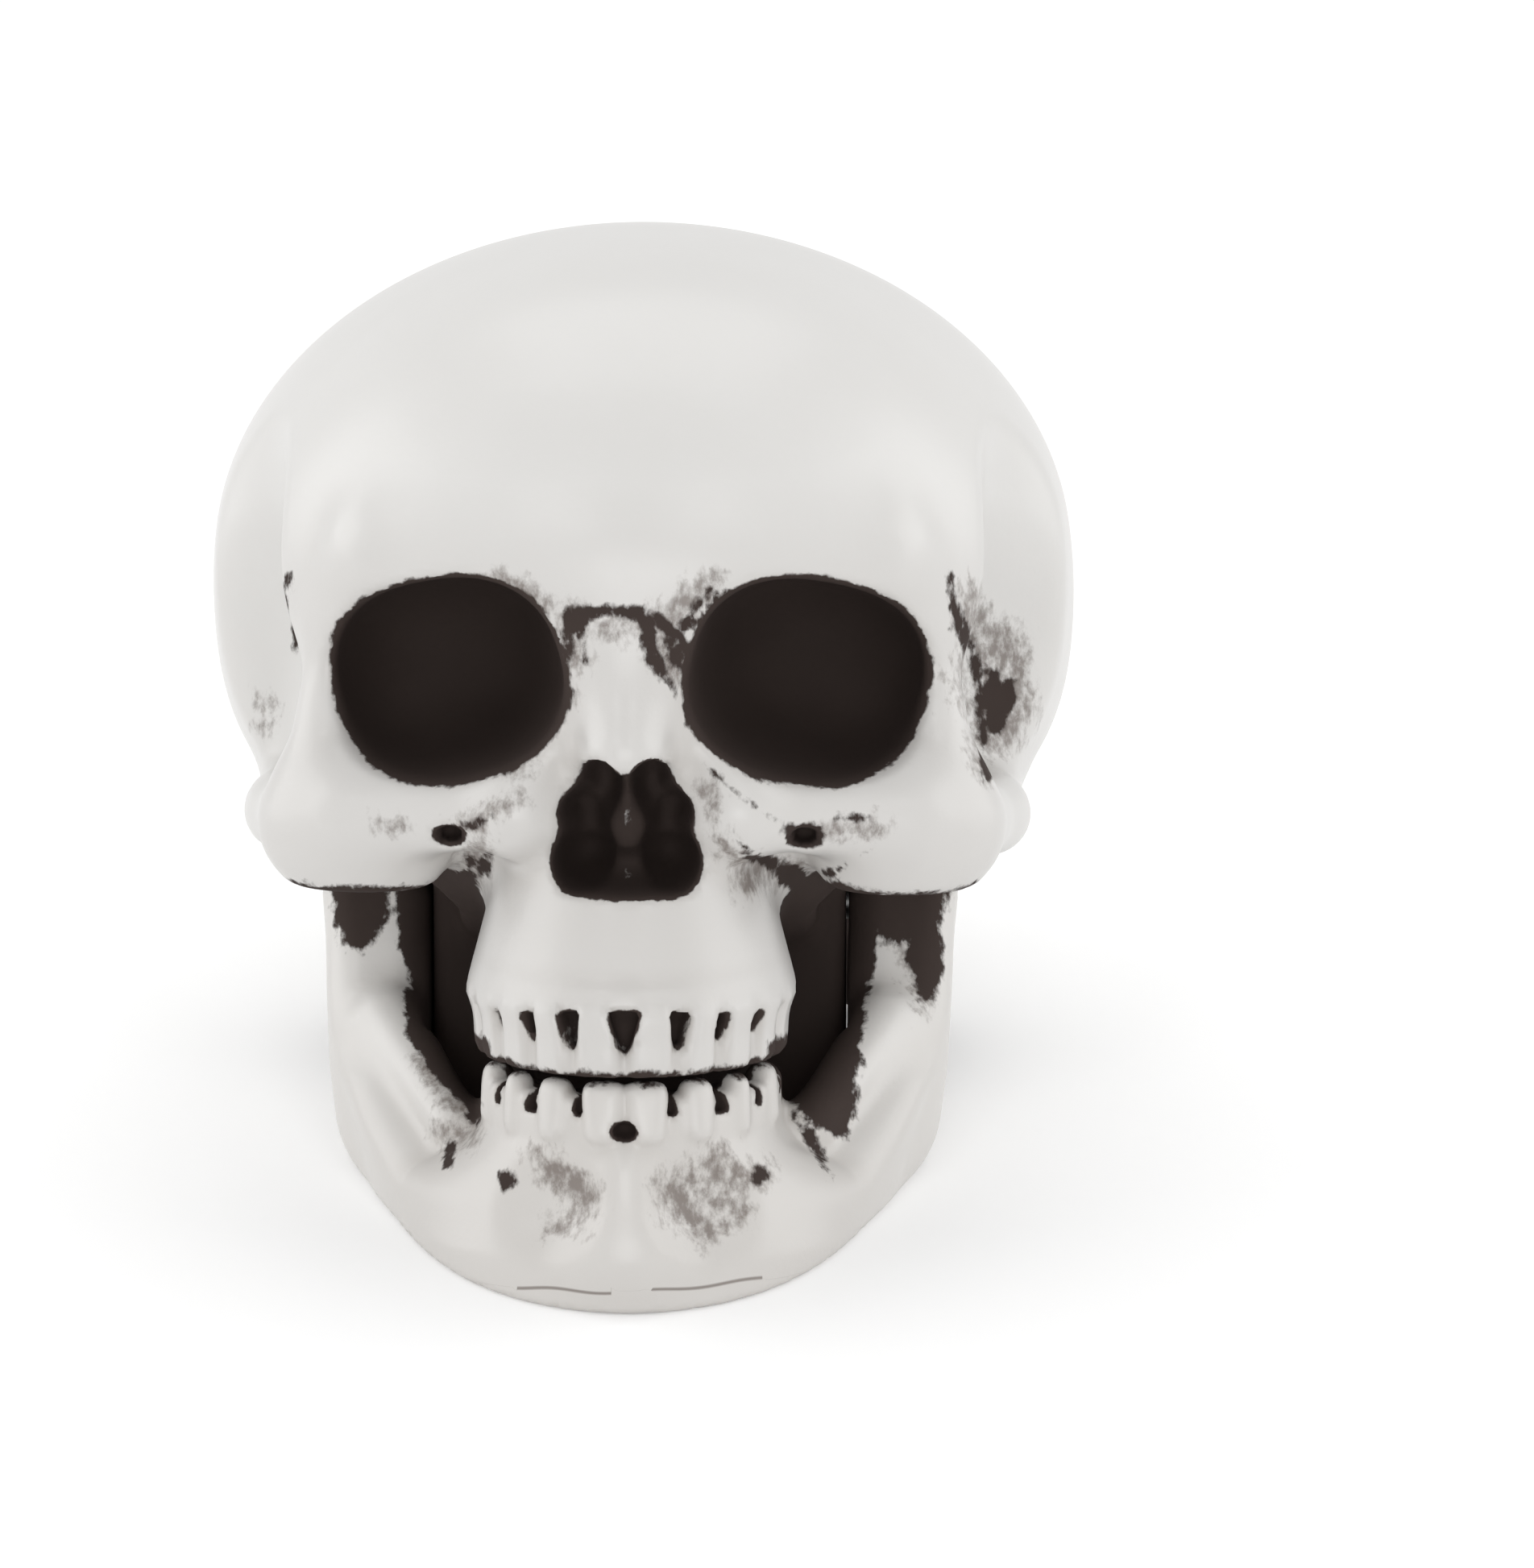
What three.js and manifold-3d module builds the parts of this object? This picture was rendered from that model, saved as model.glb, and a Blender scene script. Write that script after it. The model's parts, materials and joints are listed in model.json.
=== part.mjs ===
// A hollow plastic skull ornament with a hinged lower jaw. All sizes are in millimetres.
// Pieces are shaped in the head frame: the bite is level, X runs across the face, the face looks
// along -Y and Z is up from the chin. The rest frame leans the head back by REST_TILT, so that the
// jaw's lower edge and the underside of the occiput lie flat on the table, at Z = 0.

import * as THREE from "three";
import { mergeVertices } from "three/addons/utils/BufferGeometryUtils.js";
import Module from "manifold-3d";

const wasm = await Module();
wasm.setup();

// Stance
const REST_TILT = 16 * Math.PI / 180;
const CHIN_Y = -18.5;
const CHIN_Z = 1.1;

// Cranium
const CRANIUM_WIDTH = 45.4;
const CRANIUM_LENGTH = 48.4;
const CRANIUM_HEIGHT = 35.2;
const CRANIUM_Y = 4.0;
const CRANIUM_Z = 36.4;
const FOREHEAD_WIDTH = 34.4;
const PARIETAL_WIDTH = 43.0;
const OCCIPUT_WIDTH = 29.2;
const OCCIPUT_HEIGHT = 30.0;
const OCCIPUT_Y = 10.5;
const OCCIPUT_FLAT_DEPTH = 0.6;
const TEMPLE_DEPTH = 4.9;
const WALL = 1.8;

// Face
const SOCKET_WIDTH = 11.5;
const SOCKET_HEIGHT = 10.0;
const SOCKET_DEPTH = 9.5;
const SOCKET_SPACING = 18.0;
const SOCKET_Z = 32.15;
const SOCKET_MOUTH_Y = -17.5;
const SOCKET_SQUARENESS = 2.35;
const SOCKET_LEAN = -14 * Math.PI / 180;
const SOCKET_FLARE = 0.08;
const NOSE_WIDTH = 7.7;
const NOSE_FLOOR_Z = 20.9;
const NOSE_DEPTH = 5.0;
const CHEEK_WIDTH = 40.2;
const CHEEK_FLOOR_Z = 20.8;
const ARCH_ROD_RADIUS = 1.8;

// Teeth, from the middle of the mouth to the back
const BITE_Z = 12.3;
const BITE_GAP = 0.55;
const MOUTH_Y = -12.0;
const UPPER_WIDTHS = [2.5, 2.4, 2.35, 2.65, 2.95];
const LOWER_WIDTHS = [1.9, 2.5, 2.25, 2.3, 2.6];
const UPPER_ARCH = { across: 7.2, along: 8.95 };
const LOWER_ARCH = { across: 7.15, along: 8.5 };
const UPPER_TOOTH = { height: 3.6, thickness: 2.7, fill: 0.94 };
const LOWER_TOOTH = { height: 3.0, thickness: 2.3, fill: 0.9 };
const TOOTH_PIT = { width: 1.2, height: 2.3, depth: 1.9 };

// Lower jaw
const RAMUS_SPREAD = 26.7;
const RAMUS_THICKNESS = 4.7;
const RAMUS_LENGTH = 12.6;
const RAMUS_FOOT_Z = 8.0;
const RAMUS_TOP_Z = 20.8;
const RAMUS_FLARE = 0.1;
const JAW_WALL = 4.6;
const JAW_DEPTH = 15.0;
const JAW_BACK_Y = -4.0;
const JAW_FOOT_INSET = 2.4;
const MOUTH_FLOOR_THICKNESS = 1.2;
const MOUTH_FLOOR_ROOT = 1.5;
const MOUTH_FLOOR_REAR_Y = -4.0;

// Hinge
const HINGE_Y = 3.3;
const HINGE_Z = 18.0;
const PIN_DIAMETER = 2.0;
const PIN_SEAT_DEPTH = 5.0;
const PIN_HEAD_DIAMETER = 3.6;
const PIN_HEAD_THICKNESS = 1.0;
const PIN_HEAD_SINK = 1.3;
const BLOCK_LENGTH = 10.4;
const BLOCK_RISE = 6.5;
const SWING_FRONT = 9.8;
const SWING_REAR = 4.3;
const SWING_SLOPE = 0.42;
const SWING_UNDERCUT = 1.5;

// Shell fastening
const SEAM_BEHIND_HINGE = 2.7;
const SCREW_DIAMETER = 2.2;
const SCREW_LENGTH = 11.0;
const SCREW_HEAD_DIAMETER = 4.0;
const SCREW_HEAD_THICKNESS = 1.6;
const SCREW_SEAT = 5.0;
const SCREW_SPACING = 18.0;
const SIDE_SCREW_Z = 33.0;
const TOP_SCREW_DROP = 7.6;
const POST_WALL = 1.4;

// Clearances
const SEAM_GAP = 0.25;
const FIT_GAP = 0.15;
const SIDE_GAP = 0.3;
const FACE_GAP = 0.3;
const SWING_GAP = 0.8;
const BLOCK_LIFT = 0.5;

// How finely each moulding is faceted
const FACE_STEP = 1.8;
const REAR_STEP = 2.7;
const JAW_STEP = 1.6;
const CAVITY_STEP = 3.0;
const ROUND_SIDES = 16;

// Derived places
const SEAM_Y = HINGE_Y + SEAM_BEHIND_HINGE;
const CROWN_Z = CRANIUM_Z + CRANIUM_HEIGHT / 2;
const TILT_SLOPE = Math.tan(REST_TILT);
const FLOOR_DROP = CHIN_Z * Math.cos(REST_TILT) - CHIN_Y * Math.sin(REST_TILT);
const UPPER_TOOTH_TIP = BITE_Z + BITE_GAP / 2;
const LOWER_TOOTH_TIP = BITE_Z - BITE_GAP / 2;
const RAMUS_INNER_X = RAMUS_SPREAD / 2 - RAMUS_THICKNESS / 2;
const BLOCK_HALF_WIDTH = RAMUS_INNER_X - SIDE_GAP;
const ARCH_X = CHEEK_WIDTH / 2 - ARCH_ROD_RADIUS;
const FAR = 200;

// The box in which the skull's skin is looked for
const HALF_LIMIT_X = CRANIUM_WIDTH / 2 + 3;
const FACE_LIMIT_Y = -30;
const BACK_LIMIT_Y = 40;
const HEAD_LIMIT_Z = CROWN_Z + 4;

// Landmarks of one half of the skull: eggs by centre and radii, rods by their two ends
const TEMPLE_X = CRANIUM_WIDTH / 2 - TEMPLE_DEPTH;
const ARCH_ROOT_X = Math.min(ARCH_X, CRANIUM_WIDTH / 2) - 0.5;
const CRANIUM = {
  centre: [0, CRANIUM_Y, CRANIUM_Z],
  radii: [CRANIUM_WIDTH / 2, CRANIUM_LENGTH / 2, CRANIUM_HEIGHT / 2],
};
const FOREHEAD = { centre: [0, -6.5, CRANIUM_Z + 2], radii: [FOREHEAD_WIDTH / 2, 13.2, 12.6] };
const PARIETALS = { centre: [0, 7.0, 29.5], radii: [PARIETAL_WIDTH / 2, 17.5, 12.5] };
const SKULL_BASE = { centre: [0, -2.0, 26.0], radii: [13.5, 12.0, 10.0] };
const UPPER_TEMPLE = { centre: [TEMPLE_X + 9.2, -8.5, 38.5], radii: [9.4, 8.4, 14.5] };
const LOWER_TEMPLE = { centre: [TEMPLE_X + 5.4, -7.2, 30.8], radii: [8.0, 6.6, 10.6] };
const MASTOID = { from: [14.0, 11.6, 24.0], to: [12.4, 12.8, 13.0], radii: [3.8, 2.6] };
const BROW = { from: [1.0, -17.6, 38.2], to: [12.6, -15.4, 38.6], radii: [2.2, 1.8] };
const BROW_CORNER = { from: [12.6, -15.2, 38.2], to: [15.1, -12.8, 34.5], radii: [1.8, 1.5] };
const SIDE_RIM = { from: [15.1, -12.8, 34.5], to: [15.9, -12.8, 27.0], radii: [1.5, 2.0] };
const MIDFACE = { centre: [0, -9.5, 28.0], radii: [11.0, 8.5, 9.0] };
const NOSE_SIDE = { from: [3.2, -17.0, 35.2], to: [5.4, -17.4, 25.5], radii: [1.7, 2.4] };
const NOSE_BRIDGE = { from: [0, -18.0, 36.0], to: [0, -21.0, 29.0], radii: [1.6, 1.4] };
const LOWER_RIM = { from: [6.0, -17.3, 25.6], to: [13.8, -14.6, 25.0], radii: [2.0, 2.6] };
const CHEEK = { centre: [ARCH_X - 4.7, -12.6, 24.4], radii: [4.9, 4.0, 4.8] };
const ARCH_FRONT = [ARCH_X - 2.1, -12.0, 24.1];
const ARCH_SIDE = [ARCH_X, -5.0, 23.8];
const ARCH_ROOT = [ARCH_ROOT_X, 4.0, 25.0];
const FORE_ARCH = { from: ARCH_FRONT, to: ARCH_SIDE, radii: [ARCH_ROD_RADIUS + 0.7, ARCH_ROD_RADIUS] };
const REAR_ARCH = { from: ARCH_SIDE, to: ARCH_ROOT, radii: [ARCH_ROD_RADIUS, ARCH_ROD_RADIUS + 0.4] };

// Landmarks of the upper and lower jaws
const PALATE_TOP_Z = 27.0;
const PALATE_LENGTH = 9.0;
const GUM_TOP_Z = 24.0;
const GUM_HEIGHT = 8.5;
const GUM_RISE = 1.6;
const JAW_TOP_Z = 6.8;
const JAW_TOP_SLOPE = 0.85;
const RIDGE_REACH = 5.0;
const CHIN_BOSS = { centre: [0, CHIN_Y - 1.1, 3.6], radii: [3.4, 2.4, 2.6] };
const CHIN_RIDGE = { from: [0, CHIN_Y - 1.7, 3.6], to: [0, CHIN_Y - 2.1, 7.6], radii: [1.3, 0.9] };
const OBLIQUE_RIDGE = { from: [13.0, -4.6, 12.6], to: [9.2, -11.0, 8.4], radii: [1.8, 1.3] };
const CHIN_DIMPLE = { centre: [5.0, CHIN_Y - 2.9, 5.8], radii: [3.0, 2.2, 2.3] };

const headToRest = new THREE.Matrix4()
  .makeTranslation(0, 0, -FLOOR_DROP)
  .multiply(new THREE.Matrix4().makeRotationX(-REST_TILT));

const bonePlastic = new THREE.MeshStandardMaterial({ color: 0xdedbd5, roughness: 0.42, metalness: 0 });
const jawPlastic = new THREE.MeshStandardMaterial({ color: 0xdbd7d0, roughness: 0.45, metalness: 0 });
const pinSteel = new THREE.MeshStandardMaterial({ color: 0xb4b4b2, roughness: 0.3, metalness: 1 });
const screwSteel = new THREE.MeshStandardMaterial({ color: 0x8d8e90, roughness: 0.36, metalness: 1 });

// Soft forms: each is a function of a point that is negative inside and grows with distance
const clamp01 = (value) => Math.min(Math.max(value, 0), 1);

function egg({ centre, radii }) {
  return (x, y, z) => {
    const u = (x - centre[0]) / radii[0];
    const v = (y - centre[1]) / radii[1];
    const w = (z - centre[2]) / radii[2];
    const reach = Math.hypot(u, v, w);
    const slope = Math.hypot(u / radii[0], v / radii[1], w / radii[2]);
    return reach * (reach - 1) / Math.max(slope, 1e-6);
  };
}

function rod({ from: start, to: end, radii }) {
  const run = end.map((value, axis) => value - start[axis]);
  const runSquared = run[0] ** 2 + run[1] ** 2 + run[2] ** 2;
  return (x, y, z) => {
    const reach = [x - start[0], y - start[1], z - start[2]];
    const along = clamp01((reach[0] * run[0] + reach[1] * run[1] + reach[2] * run[2]) / runSquared);
    const off = Math.hypot(reach[0] - run[0] * along, reach[1] - run[1] * along, reach[2] - run[2] * along);
    return off - radii[0] - (radii[1] - radii[0]) * along;
  };
}

function roundedBlock(overX, overY, overZ, radius) {
  const x = overX + radius;
  const y = overY + radius;
  const z = overZ + radius;
  const outside = Math.hypot(Math.max(x, 0), Math.max(y, 0), Math.max(z, 0));
  return outside + Math.min(Math.max(x, y, z), 0) - radius;
}

// Signed distance, close enough for blending, to an upright wall that is elliptical in plan
function planEllipse(x, y, halfWidth, halfLength) {
  return (Math.hypot(x / halfWidth, y / halfLength) - 1) * Math.min(halfWidth, halfLength) * 0.95;
}

function blendLow(a, b, softness) {
  const share = clamp01(0.5 + 0.5 * (b - a) / softness);
  return b + (a - b) * share - softness * share * (1 - share);
}

const blendHigh = (a, b, softness) => -blendLow(-a, -b, softness);

const add = (form, softness) => (d, x, y, z) => blendLow(d, form(x, y, z), softness);
const carve = (form, softness) => (d, x, y, z) => blendHigh(d, -form(x, y, z), softness);
const keep = (form, softness) => (d, x, y, z) => blendHigh(d, form(x, y, z), softness);

// Runs the steps in turn on one half of the head; a soft |x| mirrors it without a crease
function sculpt(first, steps) {
  return (x, y, z) => {
    const side = Math.sqrt(x * x + 0.02);
    return steps.reduce((d, step) => step(d, side, y, z), first(side, y, z));
  };
}

// Height of the jaw's lower edge, just below the table plane so that the cut leaves a true flat
const jawBase = (y) => CHIN_Z - 0.1 + TILT_SLOPE * (y - CHIN_Y);

// The occiput is placed so that the table plane slices OCCIPUT_FLAT_DEPTH off its underside
function occiput() {
  const half = OCCIPUT_HEIGHT / 2;
  const reach = Math.hypot(half * Math.cos(REST_TILT), half * Math.sin(REST_TILT));
  const level = FLOOR_DROP + reach - OCCIPUT_FLAT_DEPTH + OCCIPUT_Y * Math.sin(REST_TILT);
  const centre = [0, OCCIPUT_Y, level / Math.cos(REST_TILT)];
  return egg({ centre, radii: [OCCIPUT_WIDTH / 2, half, half] });
}

function socket(x, y, z) {
  const across = x - SOCKET_SPACING / 2 - SOCKET_FLARE * (y - SOCKET_MOUTH_Y);
  const up = z - SOCKET_Z;
  const turned = across * Math.cos(SOCKET_LEAN) + up * Math.sin(SOCKET_LEAN);
  const risen = up * Math.cos(SOCKET_LEAN) - across * Math.sin(SOCKET_LEAN);
  const u = Math.abs(turned / (SOCKET_WIDTH / 2)) ** SOCKET_SQUARENESS;
  const w = Math.abs(risen / (SOCKET_HEIGHT / 2)) ** SOCKET_SQUARENESS;
  const v = Math.abs((y - SOCKET_MOUTH_Y) / SOCKET_DEPTH) ** SOCKET_SQUARENESS;
  return ((u + v + w) ** (1 / SOCKET_SQUARENESS) - 1) * SOCKET_HEIGHT / 2;
}

function cheekbone(x, y, z) {
  const arch = blendLow(rod(FORE_ARCH)(x, y, z), rod(REAR_ARCH)(x, y, z), 1.5);
  const cheek = blendLow(egg(CHEEK)(x, y, z), arch, 2.0);
  return blendHigh(cheek, CHEEK_FLOOR_Z - z, 0.6);
}

function upperJaw(x, y, z) {
  const spread = clamp01((GUM_TOP_Z - z) / GUM_HEIGHT);
  const wall = planEllipse(x, y - MOUTH_Y, UPPER_ARCH.across - 0.9 + 2.0 * spread,
    UPPER_ARCH.along - 0.95 + 2.1 * spread);
  const slab = blendHigh(wall, Math.max(UPPER_TOOTH_TIP + GUM_RISE - z, z - PALATE_TOP_Z), 1.4);
  return blendHigh(slab, y - MOUTH_Y - PALATE_LENGTH, 2);
}

// The solid block between the rami that the hinge pins are pressed into
function hingeBlock(x, y, z) {
  const overY = Math.abs(y - HINGE_Y) - BLOCK_LENGTH / 2;
  const block = roundedBlock(x - BLOCK_HALF_WIDTH, overY, z - HINGE_Z - BLOCK_RISE, 2.0);
  return blendHigh(block, jawBase(y) + BLOCK_LIFT - z, 1.0);
}

// Room for the rami to swing in, beside the hinge block; it widens downwards at the rear
function swingRoom(x, y, z) {
  const inner = BLOCK_HALF_WIDTH - SWING_UNDERCUT;
  const outer = RAMUS_SPREAD / 2 + RAMUS_THICKNESS;
  const rear = HINGE_Y + SWING_REAR + SWING_SLOPE * (HINGE_Z - z);
  const overX = Math.max(inner - x, x - outer);
  const overY = Math.max(HINGE_Y - SWING_FRONT - y, y - rear);
  return roundedBlock(overX, overY, z - RAMUS_TOP_Z - SWING_GAP, 1.5);
}

const skullForm = sculpt(egg(CRANIUM), [
  add(egg(FOREHEAD), 5),
  add(egg(PARIETALS), 5),
  add(occiput(), 6),
  add(egg(SKULL_BASE), 4),
  carve(egg(UPPER_TEMPLE), 1.1),
  carve(egg(LOWER_TEMPLE), 1.3),
  add(rod(MASTOID), 2.5),
  add(rod(BROW), 2.5),
  add(rod(BROW_CORNER), 1.6),
  add(rod(SIDE_RIM), 1.0),
  add(egg(MIDFACE), 3),
  add(rod(NOSE_SIDE), 1.5),
  add(rod(NOSE_BRIDGE), 1.4),
  add(rod(LOWER_RIM), 1.5),
  add(cheekbone, 1.3),
  carve(swingRoom, 0.8),
  add(upperJaw, 1.2),
  add(hingeBlock, 1.5),
  carve(socket, 0.8),
]);

// The hollow follows the outside at one wall's depth, and stays above the solid base and face
const hollowLimit = egg({
  centre: [0, CRANIUM_Y + 1.5, CRANIUM_Z + 0.6],
  radii: [CRANIUM_WIDTH / 2 - WALL, CRANIUM_LENGTH / 2 - WALL, CRANIUM_HEIGHT / 2 - WALL - 1.4],
});
const hollowForm = (x, y, z) => blendHigh(skullForm(x, y, z) + WALL, hollowLimit(x, y, z), 0.5);

// A ramus is flat towards the hinge block and flares on its outer side
const ramusOuter = (z) => RAMUS_INNER_X + RAMUS_THICKNESS + RAMUS_FLARE * Math.max(z - RAMUS_FOOT_Z, 0);

function ramus(x, y, z) {
  const half = RAMUS_LENGTH / 2 - 0.16 * (z - 6);
  const middle = 0.6 + 0.1 * (z - RAMUS_FOOT_Z);
  const overX = Math.max(RAMUS_INNER_X - x, x - ramusOuter(z));
  const slab = roundedBlock(overX, Math.abs(y - middle) - half, z - RAMUS_TOP_Z, 1.9);
  const notched = blendHigh(slab, 2.6 - Math.hypot(y + 0.4, z - RAMUS_TOP_Z - 1.2), 0.8);
  const corner = jawBase(y) + 0.6 + 0.35 * Math.max(y - 1.0, 0);
  return blendHigh(notched, corner - z, 2.5);
}

function jawBody(x, y, z) {
  const lift = Math.min(Math.max(z, 0), 10);
  const halfWidth = RAMUS_SPREAD / 2 + RAMUS_THICKNESS / 2 - JAW_FOOT_INSET + 0.22 * lift;
  const halfLength = JAW_DEPTH - 0.1 * lift;
  const outer = planEllipse(x, y - JAW_BACK_Y, halfWidth, halfLength);
  const inner = planEllipse(x, y - JAW_BACK_Y, halfWidth - JAW_WALL + 1.2, halfLength - JAW_WALL);
  const wall = blendHigh(blendHigh(outer, -inner, 1.0), y - JAW_BACK_Y - 2.0, 1.0);
  return blendHigh(wall, z - JAW_TOP_Z - JAW_TOP_SLOPE * Math.max(y - MOUTH_Y, 0), 2.6);
}

function toothRidge(x, y, z) {
  const widen = Math.min(Math.max(9.0 - z, 0), 6);
  const halfWidth = LOWER_ARCH.across + 0.55 + 0.45 * widen;
  const halfLength = LOWER_ARCH.along + 0.5 + 0.02 * widen;
  const outer = planEllipse(x, y - MOUTH_Y, halfWidth, halfLength);
  const inner = planEllipse(x, y - MOUTH_Y, halfWidth - 2.8, halfLength - 2.8);
  const ring = blendHigh(blendHigh(outer, -inner, 0.8), z - LOWER_TOOTH_TIP + 1.6, 0.8);
  return blendHigh(ring, y - MOUTH_Y - RIDGE_REACH, 1.0);
}

// A thin plate closes the arch of the jaw in front of the hinge block; the table cuts off its lower part
function mouthFloor(x, y, z) {
  const plate = planEllipse(x, y - JAW_BACK_Y, RAMUS_INNER_X + 1.0, JAW_DEPTH - 1.0);
  const overZ = Math.max(z - jawBase(y) - MOUTH_FLOOR_THICKNESS, jawBase(y) - MOUTH_FLOOR_ROOT - z);
  return blendHigh(plate, Math.max(overZ, y - MOUTH_FLOOR_REAR_Y), 0.6);
}

const jawForm = sculpt(jawBody, [
  add(ramus, 2.0),
  add(toothRidge, 2.4),
  add(rod(OBLIQUE_RIDGE), 1.2),
  add(egg(CHIN_BOSS), 1.5),
  add(rod(CHIN_RIDGE), 1.6),
  carve(egg(CHIN_DIMPLE), 1.6),
  keep((x, y, z) => jawBase(y) - z, 1.6),
  add(mouthFloor, 1.0),
]);

// Skin of a soft form: one vertex in each grid cell that the surface crosses, then moved onto it
function skin(form, halfWidth, yRange, zRange, step) {
  const columns = 2 * Math.ceil(halfWidth / step) + 1;
  const rows = Math.ceil((yRange[1] - yRange[0]) / step) + 1;
  const layers = Math.ceil((zRange[1] - zRange[0]) / step) + 1;
  const counts = [columns, rows, layers];
  const origin = [-(columns - 1) * step / 2, yRange[0], zRange[0]];
  const strides = [1, columns, columns * rows];
  const values = new Float64Array(columns * rows * layers);
  const index = (i, j, k) => i + j * strides[1] + k * strides[2];
  forGrid(counts, (i, j, k) => {
    values[index(i, j, k)] = form(origin[0] + i * step, origin[1] + j * step, origin[2] + k * step);
  });
  fillPinches(values, counts, strides, index);
  const points = [];
  const vertexOf = new Map();
  forGrid(counts.map((count) => count - 1), (i, j, k) => {
    const cell = crossing(values, index(i, j, k), strides);
    if (cell === null) return;
    const start = cell.map((share, axis) => origin[axis] + ([i, j, k][axis] + share) * step);
    vertexOf.set(index(i, j, k), points.length / 3);
    points.push(...settle(form, start, step));
  });
  const triangles = [];
  for (const axis of [0, 1, 2]) {
    const sideA = strides[(axis + 1) % 3];
    const sideB = strides[(axis + 2) % 3];
    for (let at = 0; at + strides[axis] < values.length; at += 1) {
      const inside = values[at] < 0;
      if (inside === values[at + strides[axis]] < 0) continue;
      const ring = [at - sideA - sideB, at - sideB, at, at - sideA].map((cell) => vertexOf.get(cell));
      if (ring.includes(undefined)) continue;
      pushQuad(triangles, points, inside ? ring : ring.reverse());
    }
  }
  const geometry = new THREE.BufferGeometry();
  geometry.setAttribute("position", new THREE.Float32BufferAttribute(points, 3));
  geometry.setIndex(triangles);
  return geometry;
}

function forGrid(counts, visit) {
  for (let k = 0; k < counts[2]; k += 1) {
    for (let j = 0; j < counts[1]; j += 1) {
      for (let i = 0; i < counts[0]; i += 1) visit(i, j, k);
    }
  }
}

const CELL_CORNERS = [0, 1, 2, 3, 4, 5, 6, 7].map((bits) => [bits & 1, (bits >> 1) & 1, (bits >> 2) & 1]);
const CELL_EDGES = CELL_CORNERS.flatMap((corner, from) =>
  [0, 1, 2].filter((axis) => corner[axis] === 0).map((axis) => [from, from + (1 << axis), axis]));

const cornersAt = (at, strides) => CELL_CORNERS.map(
  (c) => at + c[0] + c[1] * strides[1] + c[2] * strides[2]);

// True if the corners on one side of the surface hang together along the cell's edges
function hangsTogether(isOn) {
  const on = [0, 1, 2, 3, 4, 5, 6, 7].filter((corner) => isOn[corner]);
  const reached = new Set(on.slice(0, 1));
  for (const corner of reached) {
    [1, 2, 4].map((bit) => corner ^ bit).filter((next) => isOn[next]).forEach((next) => reached.add(next));
  }
  return reached.size === on.length;
}

// Where two sheets of the surface pinch together inside one cell, its nearest outer corner is filled
function fillPinches(values, counts, strides, index) {
  let filled = 1;
  while (filled > 0) {
    filled = 0;
    forGrid(counts.map((count) => count - 1), (i, j, k) => {
      const corners = cornersAt(index(i, j, k), strides);
      const isIn = corners.map((corner) => values[corner] < 0);
      if (hangsTogether(isIn) && hangsTogether(isIn.map((inside) => !inside))) return;
      const outer = corners.filter((corner) => values[corner] >= 0);
      const nearest = outer.reduce((best, corner) => (values[corner] < values[best] ? corner : best));
      values[nearest] = -1e-3;
      filled += 1;
    });
  }
}

// Mean of the places where the surface crosses a cell's edges, as shares of the cell
function crossing(values, at, strides) {
  const corners = cornersAt(at, strides).map((corner) => values[corner]);
  const sum = [0, 0, 0];
  let hits = 0;
  for (const [from, to, axis] of CELL_EDGES) {
    if (corners[from] < 0 === corners[to] < 0) continue;
    const share = corners[from] / (corners[from] - corners[to]);
    CELL_CORNERS[from].forEach((value, i) => { sum[i] += i === axis ? share : value; });
    hits += 1;
  }
  return hits === 0 ? null : sum.map((value) => value / hits);
}

// Moves a point along the form's slope towards the surface, no further than its own cell
function settle(form, start, step) {
  const point = [...start];
  const probe = step / 8;
  const leash = step * 0.45;
  for (let round = 0; round < 3; round += 1) {
    const value = form(...point);
    const slope = [0, 1, 2].map((axis) => {
      const ahead = point.map((v, i) => (i === axis ? v + probe : v));
      const behind = point.map((v, i) => (i === axis ? v - probe : v));
      return (form(...ahead) - form(...behind)) / (2 * probe);
    });
    const steep = Math.max(slope[0] ** 2 + slope[1] ** 2 + slope[2] ** 2, 0.2);
    const travel = Math.min(1, 0.3 * step * Math.sqrt(steep) / Math.max(Math.abs(value), 1e-9));
    slope.forEach((rise, axis) => { point[axis] -= travel * value * rise / steep; });
  }
  return point.map((value, axis) => Math.min(Math.max(value, start[axis] - leash), start[axis] + leash));
}

// Splits a quad along its shorter diagonal
function pushQuad(triangles, points, [a, b, c, d]) {
  const gap = (p, q) => Math.hypot(...[0, 1, 2].map((i) => points[3 * p + i] - points[3 * q + i]));
  if (gap(a, c) < gap(b, d)) triangles.push(a, b, c, a, c, d);
  else triangles.push(a, b, d, b, c, d);
}

// Solids live in the rest frame; every head-frame geometry passes through here once
function solid(geometry) {
  const bare = geometry.clone();
  bare.deleteAttribute("normal");
  bare.deleteAttribute("uv");
  const merged = mergeVertices(bare, 1e-4).applyMatrix4(headToRest);
  return new wasm.Manifold(new wasm.Mesh({
    numProp: 3,
    vertProperties: new Float32Array(merged.attributes.position.array),
    triVerts: new Uint32Array(merged.index.array),
  }));
}

function meshOf(name, body, material) {
  const { vertProperties, triVerts } = body.getMesh();
  const geometry = new THREE.BufferGeometry();
  geometry.setAttribute("position", new THREE.BufferAttribute(vertProperties, 3));
  geometry.setIndex(new THREE.BufferAttribute(triVerts, 1));
  geometry.computeVertexNormals();
  const mesh = new THREE.Mesh(geometry, material);
  mesh.name = name;
  return mesh;
}

const unite = (bodies) => bodies.reduce((sum, body) => sum.add(body));

// A round bar between two values along X or Y, through a point of the other two axes
function barAlongX(radius, fromX, toX, y, z) {
  return new THREE.CylinderGeometry(radius, radius, Math.abs(toX - fromX), ROUND_SIDES)
    .rotateZ(Math.PI / 2)
    .translate((fromX + toX) / 2, y, z);
}

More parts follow.
